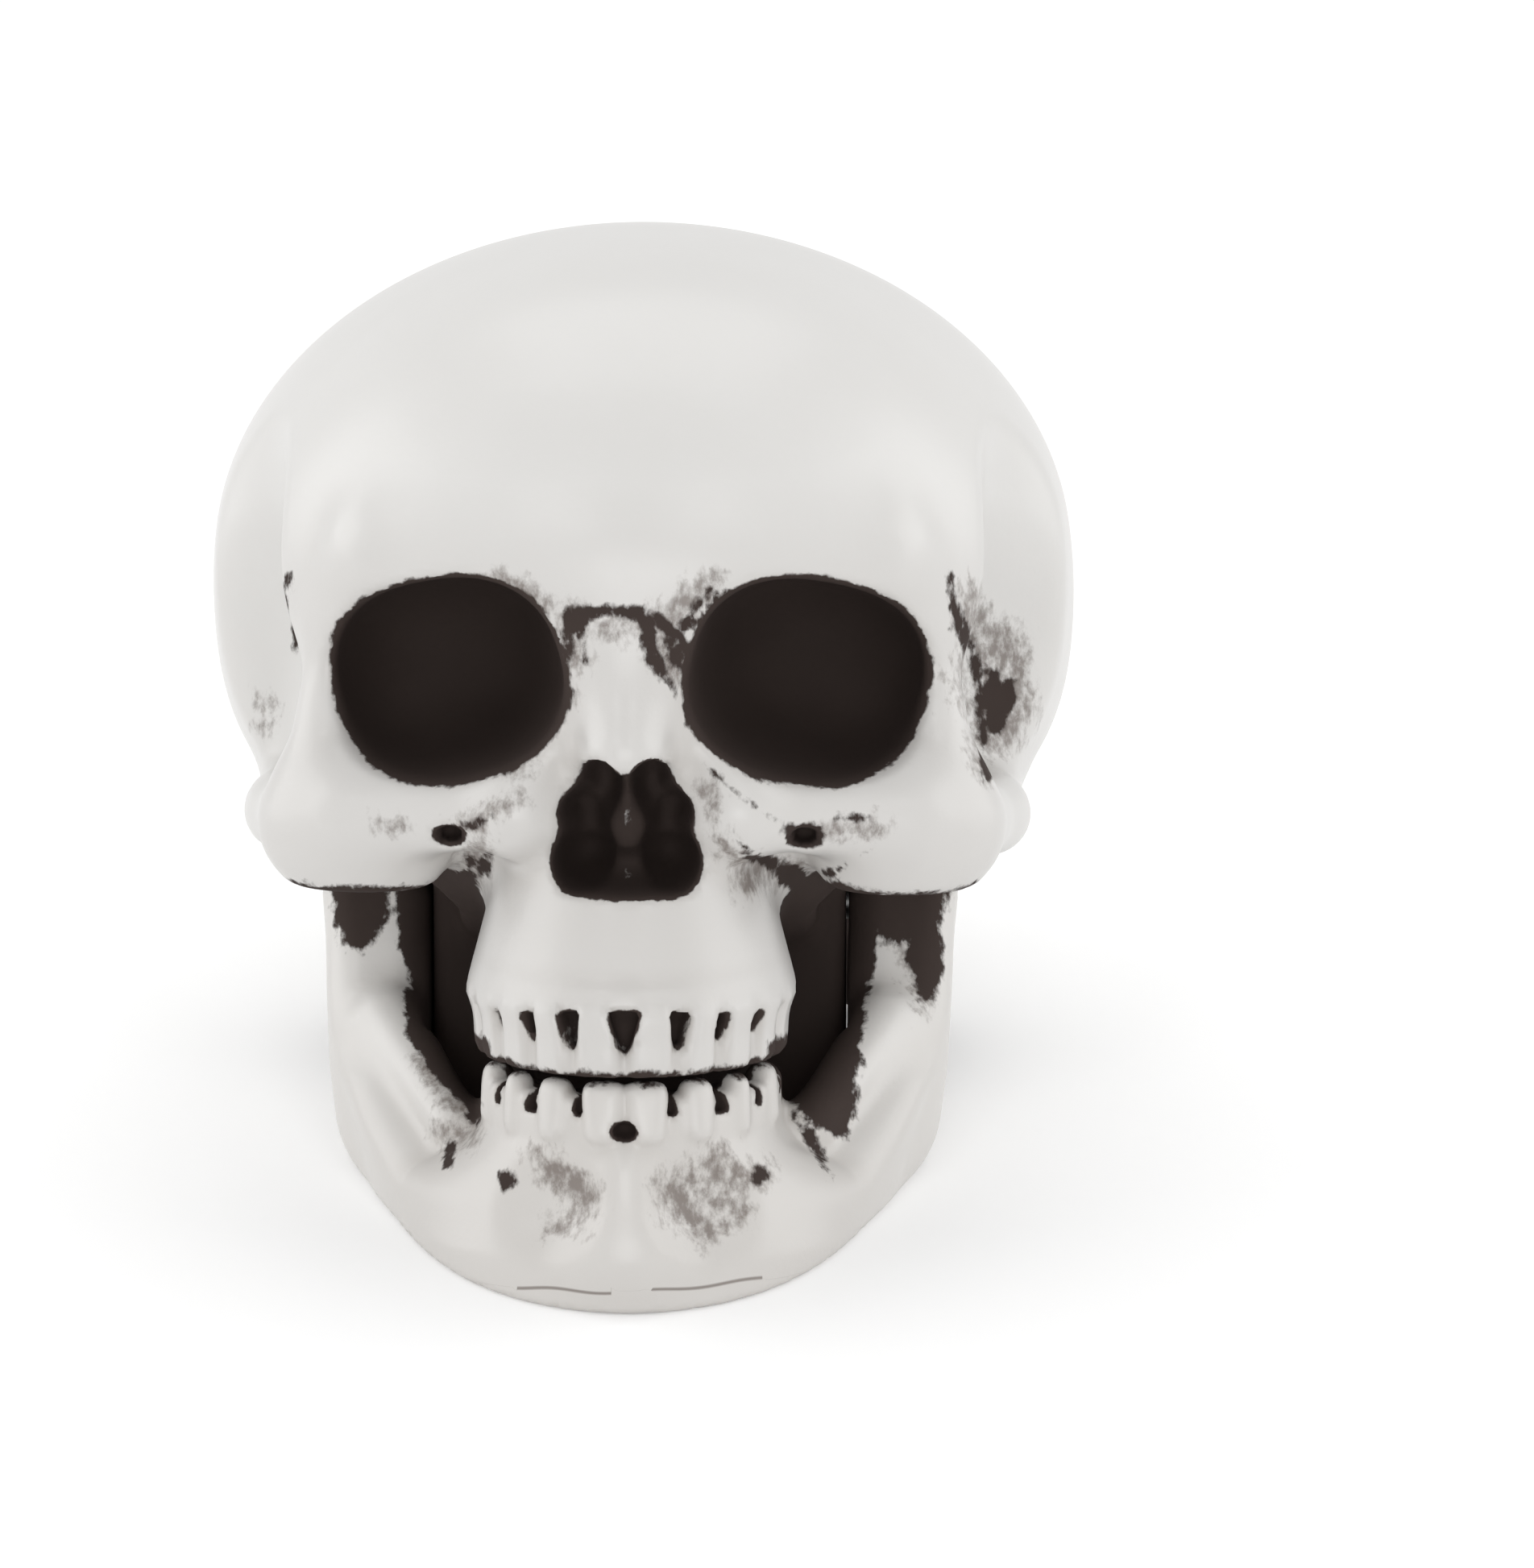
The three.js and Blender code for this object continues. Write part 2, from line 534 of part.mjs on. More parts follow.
function barAlongY(radius, fromY, toY, x, z) {
  return new THREE.CylinderGeometry(radius, radius, Math.abs(toY - fromY), ROUND_SIDES)
    .translate(x, (fromY + toY) / 2, z);
}

// Everything on the other side of the seam, as far as half the parting gap
const beyondSeam = (side) => solid(
  new THREE.BoxGeometry(FAR, FAR, FAR).translate(0, SEAM_Y + side * (SEAM_GAP - FAR) / 2, 0));

// Everything below the table, in the rest frame
const underTable = solid(new THREE.BoxGeometry(FAR, FAR, FAR)
  .translate(0, 0, -FAR / 2)
  .applyMatrix4(headToRest.clone().invert()));

// Teeth: rounded wedges along an elliptical arch, placed by walking along it
function archPlaces(widths, arch) {
  const places = [];
  let angle = 0;
  const walk = (distance) => {
    const stride = distance / 40;
    for (let i = 0; i < 40; i += 1) {
      angle += stride / Math.hypot(arch.across * Math.cos(angle), arch.along * Math.sin(angle));
    }
    return angle;
  };
  for (const width of widths) {
    places.push({ width, middle: walk(width / 2), edge: walk(width / 2) });
  }
  return places;
}

function onArch(geometry, angle, arch, outset, z) {
  const normal = Math.atan2(Math.sin(angle) / arch.across, Math.cos(angle) / arch.along);
  const x = arch.across * Math.sin(angle) + outset * Math.sin(normal);
  const y = MOUTH_Y - arch.along * Math.cos(angle) - outset * Math.cos(normal);
  return geometry.rotateZ(normal).translate(x, y, z);
}

function toothShape(width, thickness, height, tipSign) {
  const geometry = new THREE.SphereGeometry(1, 8, 6).rotateX(Math.PI / 2);
  const place = geometry.attributes.position;
  const square = (value) => Math.sign(value) * Math.abs(value) ** 0.5;
  for (let i = 0; i < place.count; i += 1) {
    const up = square(place.getZ(i));
    const taper = 0.9 + 0.1 * up * tipSign;
    place.setXYZ(i, square(place.getX(i)) * taper * width / 2,
      square(place.getY(i)) * (1 - 0.18 * (1 + up * tipSign)) * thickness / 2, up * height / 2);
  }
  return geometry;
}

const pitShape = (pit) => new THREE.SphereGeometry(1, 6, 5)
  .rotateX(Math.PI / 2)
  .scale(pit.width / 2, pit.depth, pit.height / 2);

const mirrored = (build) => [-1, 1].flatMap((side) => build(side));

function toothRow(widths, arch, tooth, tipZ, tipSign) {
  const middleZ = tipZ - tipSign * tooth.height / 2;
  return mirrored((side) => archPlaces(widths, arch).map(({ width, middle }) => {
    const shape = toothShape(width * tooth.fill, tooth.thickness, tooth.height, tipSign);
    return solid(onArch(shape, side * middle, arch, 0, middleZ));
  }));
}

function pitRow(widths, arch, tooth, tipZ, tipSign) {
  const z = tipZ - tipSign * 0.6 * tooth.height;
  const edges = archPlaces(widths, arch).slice(0, -1).map(({ edge }) => edge);
  const angles = [0, ...edges, ...edges.map((edge) => -edge)];
  return angles.map((angle) => solid(onArch(pitShape(TOOTH_PIT), angle, arch, tooth.thickness / 2, z)));
}

function nostrils() {
  const lobe = (x, y, z, rx, ry, rz) => solid(
    new THREE.SphereGeometry(1, 10, 7).scale(rx, ry, rz).translate(x, y, z));
  const half = NOSE_WIDTH / 2;
  return mirrored((side) => [
    lobe(side * half * 0.35, -20, NOSE_FLOOR_Z + 5.7, half * 0.34, NOSE_DEPTH, 2.5),
    lobe(side * half * 0.55, -19, NOSE_FLOOR_Z + 1.9, half * 0.45, NOSE_DEPTH, 2.0),
    lobe(side * half * 0.6, -19.5, NOSE_FLOOR_Z + 4.1, half * 0.4, NOSE_DEPTH * 0.8, 1.0),
  ]).concat([lobe(0, -21, NOSE_FLOOR_Z + 3.2, half * 0.62, NOSE_DEPTH * 0.9, 3.0)]);
}

// Screw places across the seam: one each side above the hinge block, one under the crown
const screwPlaces = [
  { name: "shell_screw_left", x: -SCREW_SPACING / 2, z: SIDE_SCREW_Z },
  { name: "shell_screw_right", x: SCREW_SPACING / 2, z: SIDE_SCREW_Z },
  { name: "shell_screw_top", x: 0, z: CROWN_Z - TOP_SCREW_DROP },
];
const SCREW_SEAT_Y = SEAM_Y + SEAM_GAP / 2 + SCREW_SEAT;
const SCREW_TIP_Y = SCREW_SEAT_Y + FACE_GAP - SCREW_LENGTH;
const SCREW_BORE_RADIUS = SCREW_DIAMETER / 2 + FIT_GAP;
const COUNTERBORE_RADIUS = SCREW_HEAD_DIAMETER / 2 + FACE_GAP;
const POST_RADIUS = COUNTERBORE_RADIUS + POST_WALL;

function screwHole({ x, z }) {
  const bore = solid(barAlongY(SCREW_BORE_RADIUS, SCREW_TIP_Y - FACE_GAP, SCREW_SEAT_Y + 1, x, z));
  return bore.add(solid(barAlongY(COUNTERBORE_RADIUS, SCREW_SEAT_Y, FAR / 2, x, z)));
}

// Both shells are cut from the same form, side -1 in front of the seam and 1 behind it.
// The posts that carry the screws stay solid inside the hollow.
function shell(side, step) {
  const overlap = 1.5;
  const seamEnd = SEAM_Y - side * (overlap + 2 * step);
  const yRange = side < 0 ? [FACE_LIMIT_Y, seamEnd] : [seamEnd, BACK_LIMIT_Y];
  const half = (x, y, z) => Math.max(skullForm(x, y, z), side * (SEAM_Y - y) - overlap);
  const outside = solid(skin(half, HALF_LIMIT_X, yRange, [0, HEAD_LIMIT_Z], step));
  const wholeRange = [FACE_LIMIT_Y, BACK_LIMIT_Y];
  const hollow = solid(skin(hollowForm, HALF_LIMIT_X, wholeRange, [0, HEAD_LIMIT_Z], CAVITY_STEP));
  const posts = unite(screwPlaces.map(({ x, z }) => solid(barAlongY(POST_RADIUS, -FAR / 2, FAR / 2, x, z))));
  return outside
    .subtract(hollow.subtract(posts))
    .subtract(beyondSeam(side))
    .subtract(unite(screwPlaces.map(screwHole)))
    .subtract(underTable);
}

const ramusFace = ramusOuter(HINGE_Z) - PIN_HEAD_SINK;
const PIN_TIP_X = BLOCK_HALF_WIDTH - PIN_SEAT_DEPTH;
const PIN_BORE_RADIUS = PIN_DIAMETER / 2 + FIT_GAP;

function faceShell() {
  const pinBores = mirrored((side) => [solid(
    barAlongX(PIN_BORE_RADIUS, side * (PIN_TIP_X - FACE_GAP), side * FAR / 4, HINGE_Y, HINGE_Z))]);
  const teeth = toothRow(UPPER_WIDTHS, UPPER_ARCH, UPPER_TOOTH, UPPER_TOOTH_TIP, -1);
  const pits = pitRow(UPPER_WIDTHS, UPPER_ARCH, UPPER_TOOTH, UPPER_TOOTH_TIP, -1);
  return shell(-1, FACE_STEP)
    .add(unite(teeth))
    .subtract(unite([...pits, ...nostrils(), ...pinBores]));
}

function lowerJaw() {
  const bores = mirrored((side) => [
    solid(barAlongX(PIN_BORE_RADIUS, 0, side * FAR / 4, HINGE_Y, HINGE_Z)),
    solid(barAlongX(PIN_HEAD_DIAMETER / 2 + FACE_GAP, side * ramusFace, side * FAR / 4, HINGE_Y, HINGE_Z)),
  ]);
  const teeth = toothRow(LOWER_WIDTHS, LOWER_ARCH, LOWER_TOOTH, LOWER_TOOTH_TIP, 1);
  const pits = pitRow(LOWER_WIDTHS, LOWER_ARCH, LOWER_TOOTH, LOWER_TOOTH_TIP, 1);
  const reach = RAMUS_SPREAD / 2 + RAMUS_THICKNESS;
  return solid(skin(jawForm, reach, [-26, 14], [-4, RAMUS_TOP_Z + 3], JAW_STEP))
    .add(unite(teeth))
    .subtract(unite([...pits, ...bores]))
    .subtract(underTable);
}

// A turned profile of radius and distance pairs, closed on its axis
const turned = (profile) => new THREE.LatheGeometry(
  profile.map(([radius, distance]) => new THREE.Vector2(radius, distance)), ROUND_SIDES);

function hingePin(side) {
  const shank = PIN_DIAMETER / 2;
  const head = PIN_HEAD_DIAMETER / 2;
  const seat = ramusFace + FACE_GAP;
  const profile = [
    [0, PIN_TIP_X], [shank - 0.3, PIN_TIP_X], [shank, PIN_TIP_X + 0.3], [shank, seat], [head, seat],
    [head, seat + PIN_HEAD_THICKNESS * 0.5], [head * 0.7, seat + PIN_HEAD_THICKNESS],
    [0, seat + PIN_HEAD_THICKNESS],
  ];
  return solid(turned(profile).rotateZ(-side * Math.PI / 2).translate(0, HINGE_Y, HINGE_Z));
}

function shellScrew({ x, z }) {
  const shank = SCREW_DIAMETER / 2;
  const head = SCREW_HEAD_DIAMETER / 2;
  const seat = SCREW_SEAT_Y + FACE_GAP;
  const top = seat + SCREW_HEAD_THICKNESS;
  const profile = [
    [0, SCREW_TIP_Y], [shank * 0.4, SCREW_TIP_Y], [shank, SCREW_TIP_Y + shank], [shank, seat], [head, seat],
    [head, seat + SCREW_HEAD_THICKNESS * 0.5], [head * 0.75, top], [0, top],
  ];
  const arm = head * 1.1;
  const slot = head * 0.25;
  const drive = new THREE.BoxGeometry(arm, SCREW_HEAD_THICKNESS, slot).translate(0, top, 0);
  const crossDrive = new THREE.BoxGeometry(slot, SCREW_HEAD_THICKNESS, arm).translate(0, top, 0);
  return solid(turned(profile).translate(x, 0, z))
    .subtract(solid(drive.translate(x, 0, z)))
    .subtract(solid(crossDrive.translate(x, 0, z)));
}

const skullOrnament = new THREE.Group();
skullOrnament.add(meshOf("face_shell", faceShell(), bonePlastic));
skullOrnament.add(meshOf("rear_shell", shell(1, REAR_STEP), bonePlastic));
skullOrnament.add(meshOf("lower_jaw", lowerJaw(), jawPlastic));
skullOrnament.add(meshOf("jaw_pin_left", hingePin(-1), pinSteel));
skullOrnament.add(meshOf("jaw_pin_right", hingePin(1), pinSteel));
for (const place of screwPlaces) {
  skullOrnament.add(meshOf(place.name, shellScrew(place), screwSteel));
}

// The origin is the middle of the underside of the whole ornament
const middle = new THREE.Box3().setFromObject(skullOrnament).getCenter(new THREE.Vector3());
skullOrnament.position.set(-middle.x, -middle.y, 0);

export default skullOrnament;
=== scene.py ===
# %% [markdown]
# A palm-sized plastic skull with a hinged jaw, moulded in bone white and rubbed with dark brown paint.
# This lesson dresses its packed construction model. The construction model says where everything is,
# so the first step loads it.

# %% Load the construction frame
import json
import math

import bpy
import bmesh
import numpy as np
from mathutils import Matrix, Vector


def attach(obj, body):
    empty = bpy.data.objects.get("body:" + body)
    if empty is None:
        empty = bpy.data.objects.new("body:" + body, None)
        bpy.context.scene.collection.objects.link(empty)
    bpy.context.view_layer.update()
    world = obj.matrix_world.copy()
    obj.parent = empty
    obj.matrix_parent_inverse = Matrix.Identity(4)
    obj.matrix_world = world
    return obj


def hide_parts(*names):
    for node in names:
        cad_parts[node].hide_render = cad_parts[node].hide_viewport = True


MM = 0.001
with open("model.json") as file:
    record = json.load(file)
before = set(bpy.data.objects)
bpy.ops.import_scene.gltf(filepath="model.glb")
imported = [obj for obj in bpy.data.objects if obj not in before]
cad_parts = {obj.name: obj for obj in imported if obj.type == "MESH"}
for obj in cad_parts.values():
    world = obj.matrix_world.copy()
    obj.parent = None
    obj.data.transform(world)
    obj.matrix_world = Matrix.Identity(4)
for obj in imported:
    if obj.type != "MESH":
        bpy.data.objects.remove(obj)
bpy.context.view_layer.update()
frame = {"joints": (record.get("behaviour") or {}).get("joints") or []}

# %% [markdown]
# A skull is easiest to describe with its bite level: X across the face, the face looking along -Y, Z up
# from the chin, in millimetres. On the table it leans back until the jaw and the back of the head touch
# it. The hinge ties the two frames together: it is known in both, so one turn and one shift are enough.

# %% From the head frame to the table
REST_TILT = math.radians(16.0)
HINGE_Y = 3.3
HINGE_Z = 18.0

lean_back = Matrix.Rotation(-REST_TILT, 3, "X")
hinge_on_table = Vector(frame["joints"][0]["pos_m"]) / MM
table_shift = hinge_on_table - lean_back @ Vector((0.0, HINGE_Y, HINGE_Z))
head_to_table = Matrix.Scale(MM, 4) @ Matrix.Translation(table_shift) @ lean_back.to_4x4()
print("head origin on the table in mm:", [round(v, 3) for v in table_shift])

# %% [markdown]
# The camera comes before any modelling.
# It looks at the face a little from the skull's left and from just above the bite. A long lens from a
# third of a metre keeps the cheeks and the brow in the right proportion to each other.

# %% Camera
PICTURE_WIDTH = 1904
PICTURE_HEIGHT = 1946
PIXELS_PER_MM = 24.5
FACE_MIDDLE_PIXEL = (782, 957)
SENSOR_SIZE = 36.0
VIEW_TURN = math.radians(2.2)
VIEW_RISE = math.radians(7.0)
VIEW_DISTANCE = 340.0
VIEW_TARGET = Vector((0.0, -14.0, 27.0))
NEAREST_SEEN = 0.01


def put_in_scene(name, data):
    thing = bpy.data.objects.new(name, data)
    bpy.context.scene.collection.objects.link(thing)
    return thing


def add_camera():
    flat = math.cos(VIEW_RISE)
    back = Vector((math.sin(VIEW_TURN) * flat, -math.cos(VIEW_TURN) * flat, math.sin(VIEW_RISE)))
    data = bpy.data.cameras.new("portrait_camera")
    data.sensor_width = SENSOR_SIZE
    data.lens = SENSOR_SIZE * VIEW_DISTANCE * PIXELS_PER_MM / PICTURE_HEIGHT
    data.shift_x = (PICTURE_WIDTH / 2 - FACE_MIDDLE_PIXEL[0]) / PICTURE_HEIGHT
    data.shift_y = (FACE_MIDDLE_PIXEL[1] - PICTURE_HEIGHT / 2) / PICTURE_HEIGHT
    data.clip_start = NEAREST_SEEN
    camera = put_in_scene("portrait_camera", data)
    turn = lean_back @ back.to_track_quat("Z", "Y").to_matrix()
    place = head_to_table @ (VIEW_TARGET + back * VIEW_DISTANCE)
    camera.matrix_world = Matrix.Translation(place) @ turn.to_4x4()
    return camera


bpy.context.scene.camera = add_camera()
print("camera lens in mm:", round(bpy.context.scene.camera.data.lens, 1))

# %% [markdown]
# Bone has no edges to extrude: everything swells, hollows and melts into its neighbour. Sculpting by hand
# can't be repeated from a script, and metaballs give no crisp rims. So the skull is written as a soft
# form: a function of points that is negative inside the plastic and grows with distance outside it.
# Adding, carving and trimming forms with a softness in millimetres gives fillets of that size for free.

# %% Soft forms
TINY = 1e-6
PLAN_SLOPE = 0.95
MIDLINE_ROUNDING = 0.02


def ellipsoid(p, centre, radii):
    radii = np.array(radii, p.dtype)
    scaled = (p - np.array(centre, p.dtype)) / radii
    reach = np.linalg.norm(scaled, axis=1)
    slope = np.linalg.norm(scaled / radii, axis=1)
    return reach * (reach - 1) / np.maximum(slope, TINY)


def rod(p, start, end, start_radius, end_radius):
    start = np.array(start, p.dtype)
    run = np.array(end, p.dtype) - start
    along = np.clip((p - start) @ run / (run @ run), 0, 1)
    off = np.linalg.norm(p - start - along[:, None] * run, axis=1)
    return off - start_radius - (end_radius - start_radius) * along


def rounded_block(over_x, over_y, over_z, radius):
    over = np.stack(np.broadcast_arrays(over_x, over_y, over_z), axis=1) + radius
    outside = np.linalg.norm(np.maximum(over, 0), axis=1)
    return outside + np.minimum(over.max(axis=1), 0) - radius


def plan_ellipse(x, y, half_width, half_length):
    reach = np.hypot(x / half_width, y / half_length)
    return (reach - 1) * np.minimum(half_width, half_length) * PLAN_SLOPE


def add(a, b, softness):
    share = np.clip(0.5 + 0.5 * (b - a) / softness, 0, 1)
    return b + (a - b) * share - softness * share * (1 - share)


def trim(a, b, softness):
    return -add(-a, -b, softness)


def carve(a, b, softness):
    return trim(a, -b, softness)


def mirrored(p):
    half = p.copy()
    half[:, 0] = np.sqrt(p[:, 0] ** 2 + MIDLINE_ROUNDING)
    return half


demo = ellipsoid(np.array([[0.0, 0.0, 3.0]]), (0, 0, 0), (1, 1, 1))
print("a point 3 mm from the middle of a 1 mm ball is", round(float(demo[0]), 2), "mm outside it")

# %% [markdown]
# A form becomes a mesh by surface nets: a fine grid is laid over it, each grid cell that the surface
# crosses gets one vertex, and neighbouring cells are joined by quads. Marching cubes would do as well, but
# nets give even quads that shade smoothly. A coarse pass finds where the surface is, so the fine grid is
# evaluated only near it, and two last steps pull every vertex along the slope onto the true surface.

# %% Surface nets
COARSE = 4
SEARCH_REACH = 2.2
FAR = 1e3
FLATTEST_SLOPE = 0.2
LONGEST_PULL = 0.5
CORNERS = np.array([(i, j, k) for i in (0, 1) for j in (0, 1) for k in (0, 1)])


def sample_near_surface(form, low, high, step):
    low = np.array(low)
    cells = np.ceil((np.array(high) - low) / (step * COARSE)).astype(int)
    axes = [low[i] + np.arange(cells[i] + 1) * step * COARSE for i in range(3)]
    grid = np.stack(np.meshgrid(*axes, indexing="ij"), axis=-1)
    rough = form(grid.reshape(-1, 3)).reshape(grid.shape[:3])
    fine_counts = cells * COARSE + 1
    nearest = np.ix_(*[np.round(np.arange(n) / COARSE).astype(int) for n in fine_counts])
    values = np.where(rough > 0, FAR, -FAR)[nearest]
    close = np.nonzero((np.abs(rough) < step * COARSE * SEARCH_REACH)[nearest])
    values[close] = form((low + np.stack(close, axis=1) * step).astype(np.float32))
    return values


def cell_vertices(values):
    inside = values < 0
    cell_shape = np.array(values.shape) - 1
    count = np.zeros(cell_shape, np.int8)
    for i, j, k in CORNERS:
        count += inside[i:i + cell_shape[0], j:j + cell_shape[1], k:k + cell_shape[2]]
    active = (count > 0) & (count < 8)
    cells = np.argwhere(active)
    total = np.zeros((len(cells), 3))
    hits = np.zeros(len(cells))
    for a in range(8):
        for b in range(a + 1, 8):
            if np.abs(CORNERS[a] - CORNERS[b]).sum() != 1:
                continue
            at_a = values[tuple((cells + CORNERS[a]).T)]
            at_b = values[tuple((cells + CORNERS[b]).T)]
            crossed = (at_a < 0) != (at_b < 0)
            share = at_a / np.where(crossed, at_a - at_b, 1)
            total[crossed] += (CORNERS[a] + (CORNERS[b] - CORNERS[a]) * share[:, None])[crossed]
            hits += crossed
    number = np.full(cell_shape, -1, np.int64)
    number[active] = np.arange(len(cells))
    return cells + total / hits[:, None], number


def quads_between(values, number):
    inside = values < 0
    quads = []
    for axis in range(3):
        first = np.moveaxis(inside, axis, 0)[:-1]
        second = np.moveaxis(inside, axis, 0)[1:]
        edges = np.argwhere(np.moveaxis(first != second, 0, axis))
        side_a, side_b = (axis + 1) % 3, (axis + 2) % 3
        edges = edges[(edges[:, side_a] > 0) & (edges[:, side_b] > 0)]
        ring = []
        for back_a, back_b in ((1, 1), (0, 1), (0, 0), (1, 0)):
            cell = edges.copy()
            cell[:, side_a] -= back_a
            cell[:, side_b] -= back_b
            ring.append(number[tuple(cell.T)])
        ring = np.stack(ring, axis=1)
        flipped = ~inside[tuple(edges.T)]
        ring[flipped] = ring[flipped][:, ::-1]
        quads.append(ring)
    return np.concatenate(quads)


def slope_of(form, p, probe):
    columns = []
    for axis in range(3):
        ahead = np.zeros(3)
        ahead[axis] = probe
        columns.append((form(p + ahead) - form(p - ahead)) / (2 * probe))
    return np.stack(columns, axis=1)


def surface_net(form, low, high, step):
    values = sample_near_surface(form, low, high, step)
    places, number = cell_vertices(values)
    quads = quads_between(values, number)
    points = np.array(low) + places * step
    for _ in range(2):
        slope = slope_of(form, points, step / 4)
        move = (form(points) / np.maximum((slope ** 2).sum(axis=1), FLATTEST_SLOPE))[:, None] * slope
        length = np.linalg.norm(move, axis=1, keepdims=True)
        points = points - move * np.minimum(1, LONGEST_PULL * step / np.maximum(length, TINY))
    return points, quads


pebble = surface_net(lambda p: ellipsoid(p, (0, 0, 0), (5, 4, 3)), (-6, -6, -6), (6, 6, 6), 0.5)
print("a test pebble has", len(pebble[0]), "points and", len(pebble[1]), "quads")

# %% [markdown]
# The upper head first. One half is described and the other is its mirror image. The braincase is a few
# overlapping eggs; the temples are hollowed out of it; the brow, the rims of the eye sockets, the bridge
# of the nose and the cheekbones are tapered rolls laid over it, the way a modeller lays on clay. An egg
# is written as its centre and radii, a roll as its two ends with the radius at each. In the tables of
# several, the last number is the softness of the join.

# %% Braincase, brow and cheeks
CRANIUM_WIDTH = 45.4
CRANIUM_LENGTH = 48.4
CRANIUM_HEIGHT = 35.2
CRANIUM_Y = 4.0
CRANIUM_Z = 36.4
CROWN_Z = CRANIUM_Z + CRANIUM_HEIGHT / 2
BRAINCASE_EGGS = {
    "forehead": ((0, -6.5, 38.4), (17.2, 13.2, 12.6), 5),
    "sides": ((0, 7.0, 29.5), (21.5, 17.5, 12.5), 5),
    "back": ((0, 10.5, 24.4), (14.6, 15.0, 15.0), 6),
    "base": ((0, -2, 26), (13.5, 12, 10), 4),
}
TEMPLES = {
    "upper": ((27.0, -8.5, 38.5), (9.4, 8.4, 14.5), 1.1),
    "lower": ((23.2, -7.2, 30.8), (8.0, 6.6, 10.6), 1.3),
}
BROW_ROLLS = {
    "brow": ((1.0, -17.6, 38.2), (12.6, -15.4, 38.6), 2.2, 1.8, 2.5),
    "outer corner": ((12.4, -15.2, 38.2), (14.7, -12.8, 34.5), 1.8, 1.4, 1.6),
    "side rim": ((14.7, -12.8, 34.5), (15.6, -12.8, 27.0), 1.4, 2.0, 1.0),
}
MIDFACE = {"midface": ((0, -9.5, 28), (11, 8.5, 9), 3)}
FACE_ROLLS = {
    "side of the nose": ((3.2, -17.0, 35.2), (5.4, -17.4, 25.5), 1.7, 2.4, 1.5),
    "bridge of the nose": ((0, -18.0, 36.0), (0, -20.3, 28.8), 1.5, 2.1, 2.2),
    "lower rim": ((6.0, -17.3, 25.6), (13.8, -14.6, 25.0), 2.0, 2.6, 1.5),
}
CHEEK_BODY = ((13.6, -12.6, 24.4), (4.9, 4.0, 4.8))
FRONT_ARCH = ((16.2, -12.0, 24.1), (18.3, -5.0, 23.8), 2.5, 1.8)
REAR_ARCH = ((18.3, -5.0, 23.8), (17.8, 4.0, 25.0), 1.8, 2.2)
CHEEK_FLOOR_Z = 20.8


def blend_eggs(h, d, eggs, blend):
    for centre, radii, softness in eggs.values():
        d = blend(d, ellipsoid(h, centre, radii), softness)
    return d


def add_rolls(h, d, rolls):
    for *roll, softness in rolls.values():
        d = add(d, rod(h, *roll), softness)
    return d


def braincase(h):
    half = (CRANIUM_WIDTH / 2, CRANIUM_LENGTH / 2, CRANIUM_HEIGHT / 2)
    d = ellipsoid(h, (0, CRANIUM_Y, CRANIUM_Z), half)
    d = blend_eggs(h, d, BRAINCASE_EGGS, add)
    return blend_eggs(h, d, TEMPLES, carve)


def brow_and_nose(h, d):
    d = add_rolls(h, d, BROW_ROLLS)
    d = blend_eggs(h, d, MIDFACE, add)
    return add_rolls(h, d, FACE_ROLLS)


def cheekbone(h):
    arch = add(rod(h, *FRONT_ARCH), rod(h, *REAR_ARCH), 1.5)
    cheek = add(ellipsoid(h, *CHEEK_BODY), arch, 2.0)
    return trim(cheek, CHEEK_FLOOR_Z - h[:, 2], 0.6)


print("crown", CROWN_Z, "mm above the chin, cheeks end at", CHEEK_FLOOR_Z, "mm")

# %% [markdown]
# The openings are carved last, so that their rims stay crisp. An eye socket on this skull is nearly a
# rounded square, so a power a little above two is used in place of an ellipsoid, leaning outwards and
# down. The nose is a heart turned upside down, scooped out as a few small eggs, with a ledge along its
# floor.

# %% Eye sockets and nose
SOCKET_HALF_WIDTH = 5.75
SOCKET_HALF_HEIGHT = 5.0
SOCKET_DEPTH = 9.5
SOCKET_X = 9.0
SOCKET_Z = 32.15
SOCKET_MOUTH_Y = -17.5
SOCKET_FLARE = 0.08
SOCKET_SQUARENESS = 2.35
SOCKET_LEAN_COSINE = 0.97
SOCKET_LEAN_SINE = -0.242
NOSE_TOP = ((1.2, -20, 26.6), (1.1, 5.0, 1.95))
NOSE_SCOOPS = {
    "foot": ((2.0, -19, 23.0), (1.7, 5.4, 1.75), 0.4),
    "shoulder": ((2.1, -19.5, 25.6), (1.2, 5.0, 0.95), 0.45),
    "side": ((1.95, -19.5, 24.7), (1.2, 4.9, 2.2), 0.6),
    "middle": ((0, -21.0, 24.5), (2.4, 4.0, 3.1), 0.6),
    "ledge": ((0, -20.5, 22.6), (2.6, 4.6, 1.4), 0.4),
}
NOSE_FLOOR_Z = 21.4
NERVE_HOLE = ((8.9, -18.2, 24.25), (0.72, 1.8, 0.46))


def eye_socket(h):
    across = h[:, 0] - SOCKET_X - SOCKET_FLARE * (h[:, 1] - SOCKET_MOUTH_Y)
    up = h[:, 2] - SOCKET_Z
    turned = SOCKET_LEAN_COSINE * across + SOCKET_LEAN_SINE * up
    risen = SOCKET_LEAN_COSINE * up - SOCKET_LEAN_SINE * across
    u = np.abs(turned / SOCKET_HALF_WIDTH) ** SOCKET_SQUARENESS
    w = np.abs(risen / SOCKET_HALF_HEIGHT) ** SOCKET_SQUARENESS
    v = np.abs((h[:, 1] - SOCKET_MOUTH_Y) / SOCKET_DEPTH) ** SOCKET_SQUARENESS
    return ((u + v + w) ** (1 / SOCKET_SQUARENESS) - 1) * SOCKET_HALF_HEIGHT


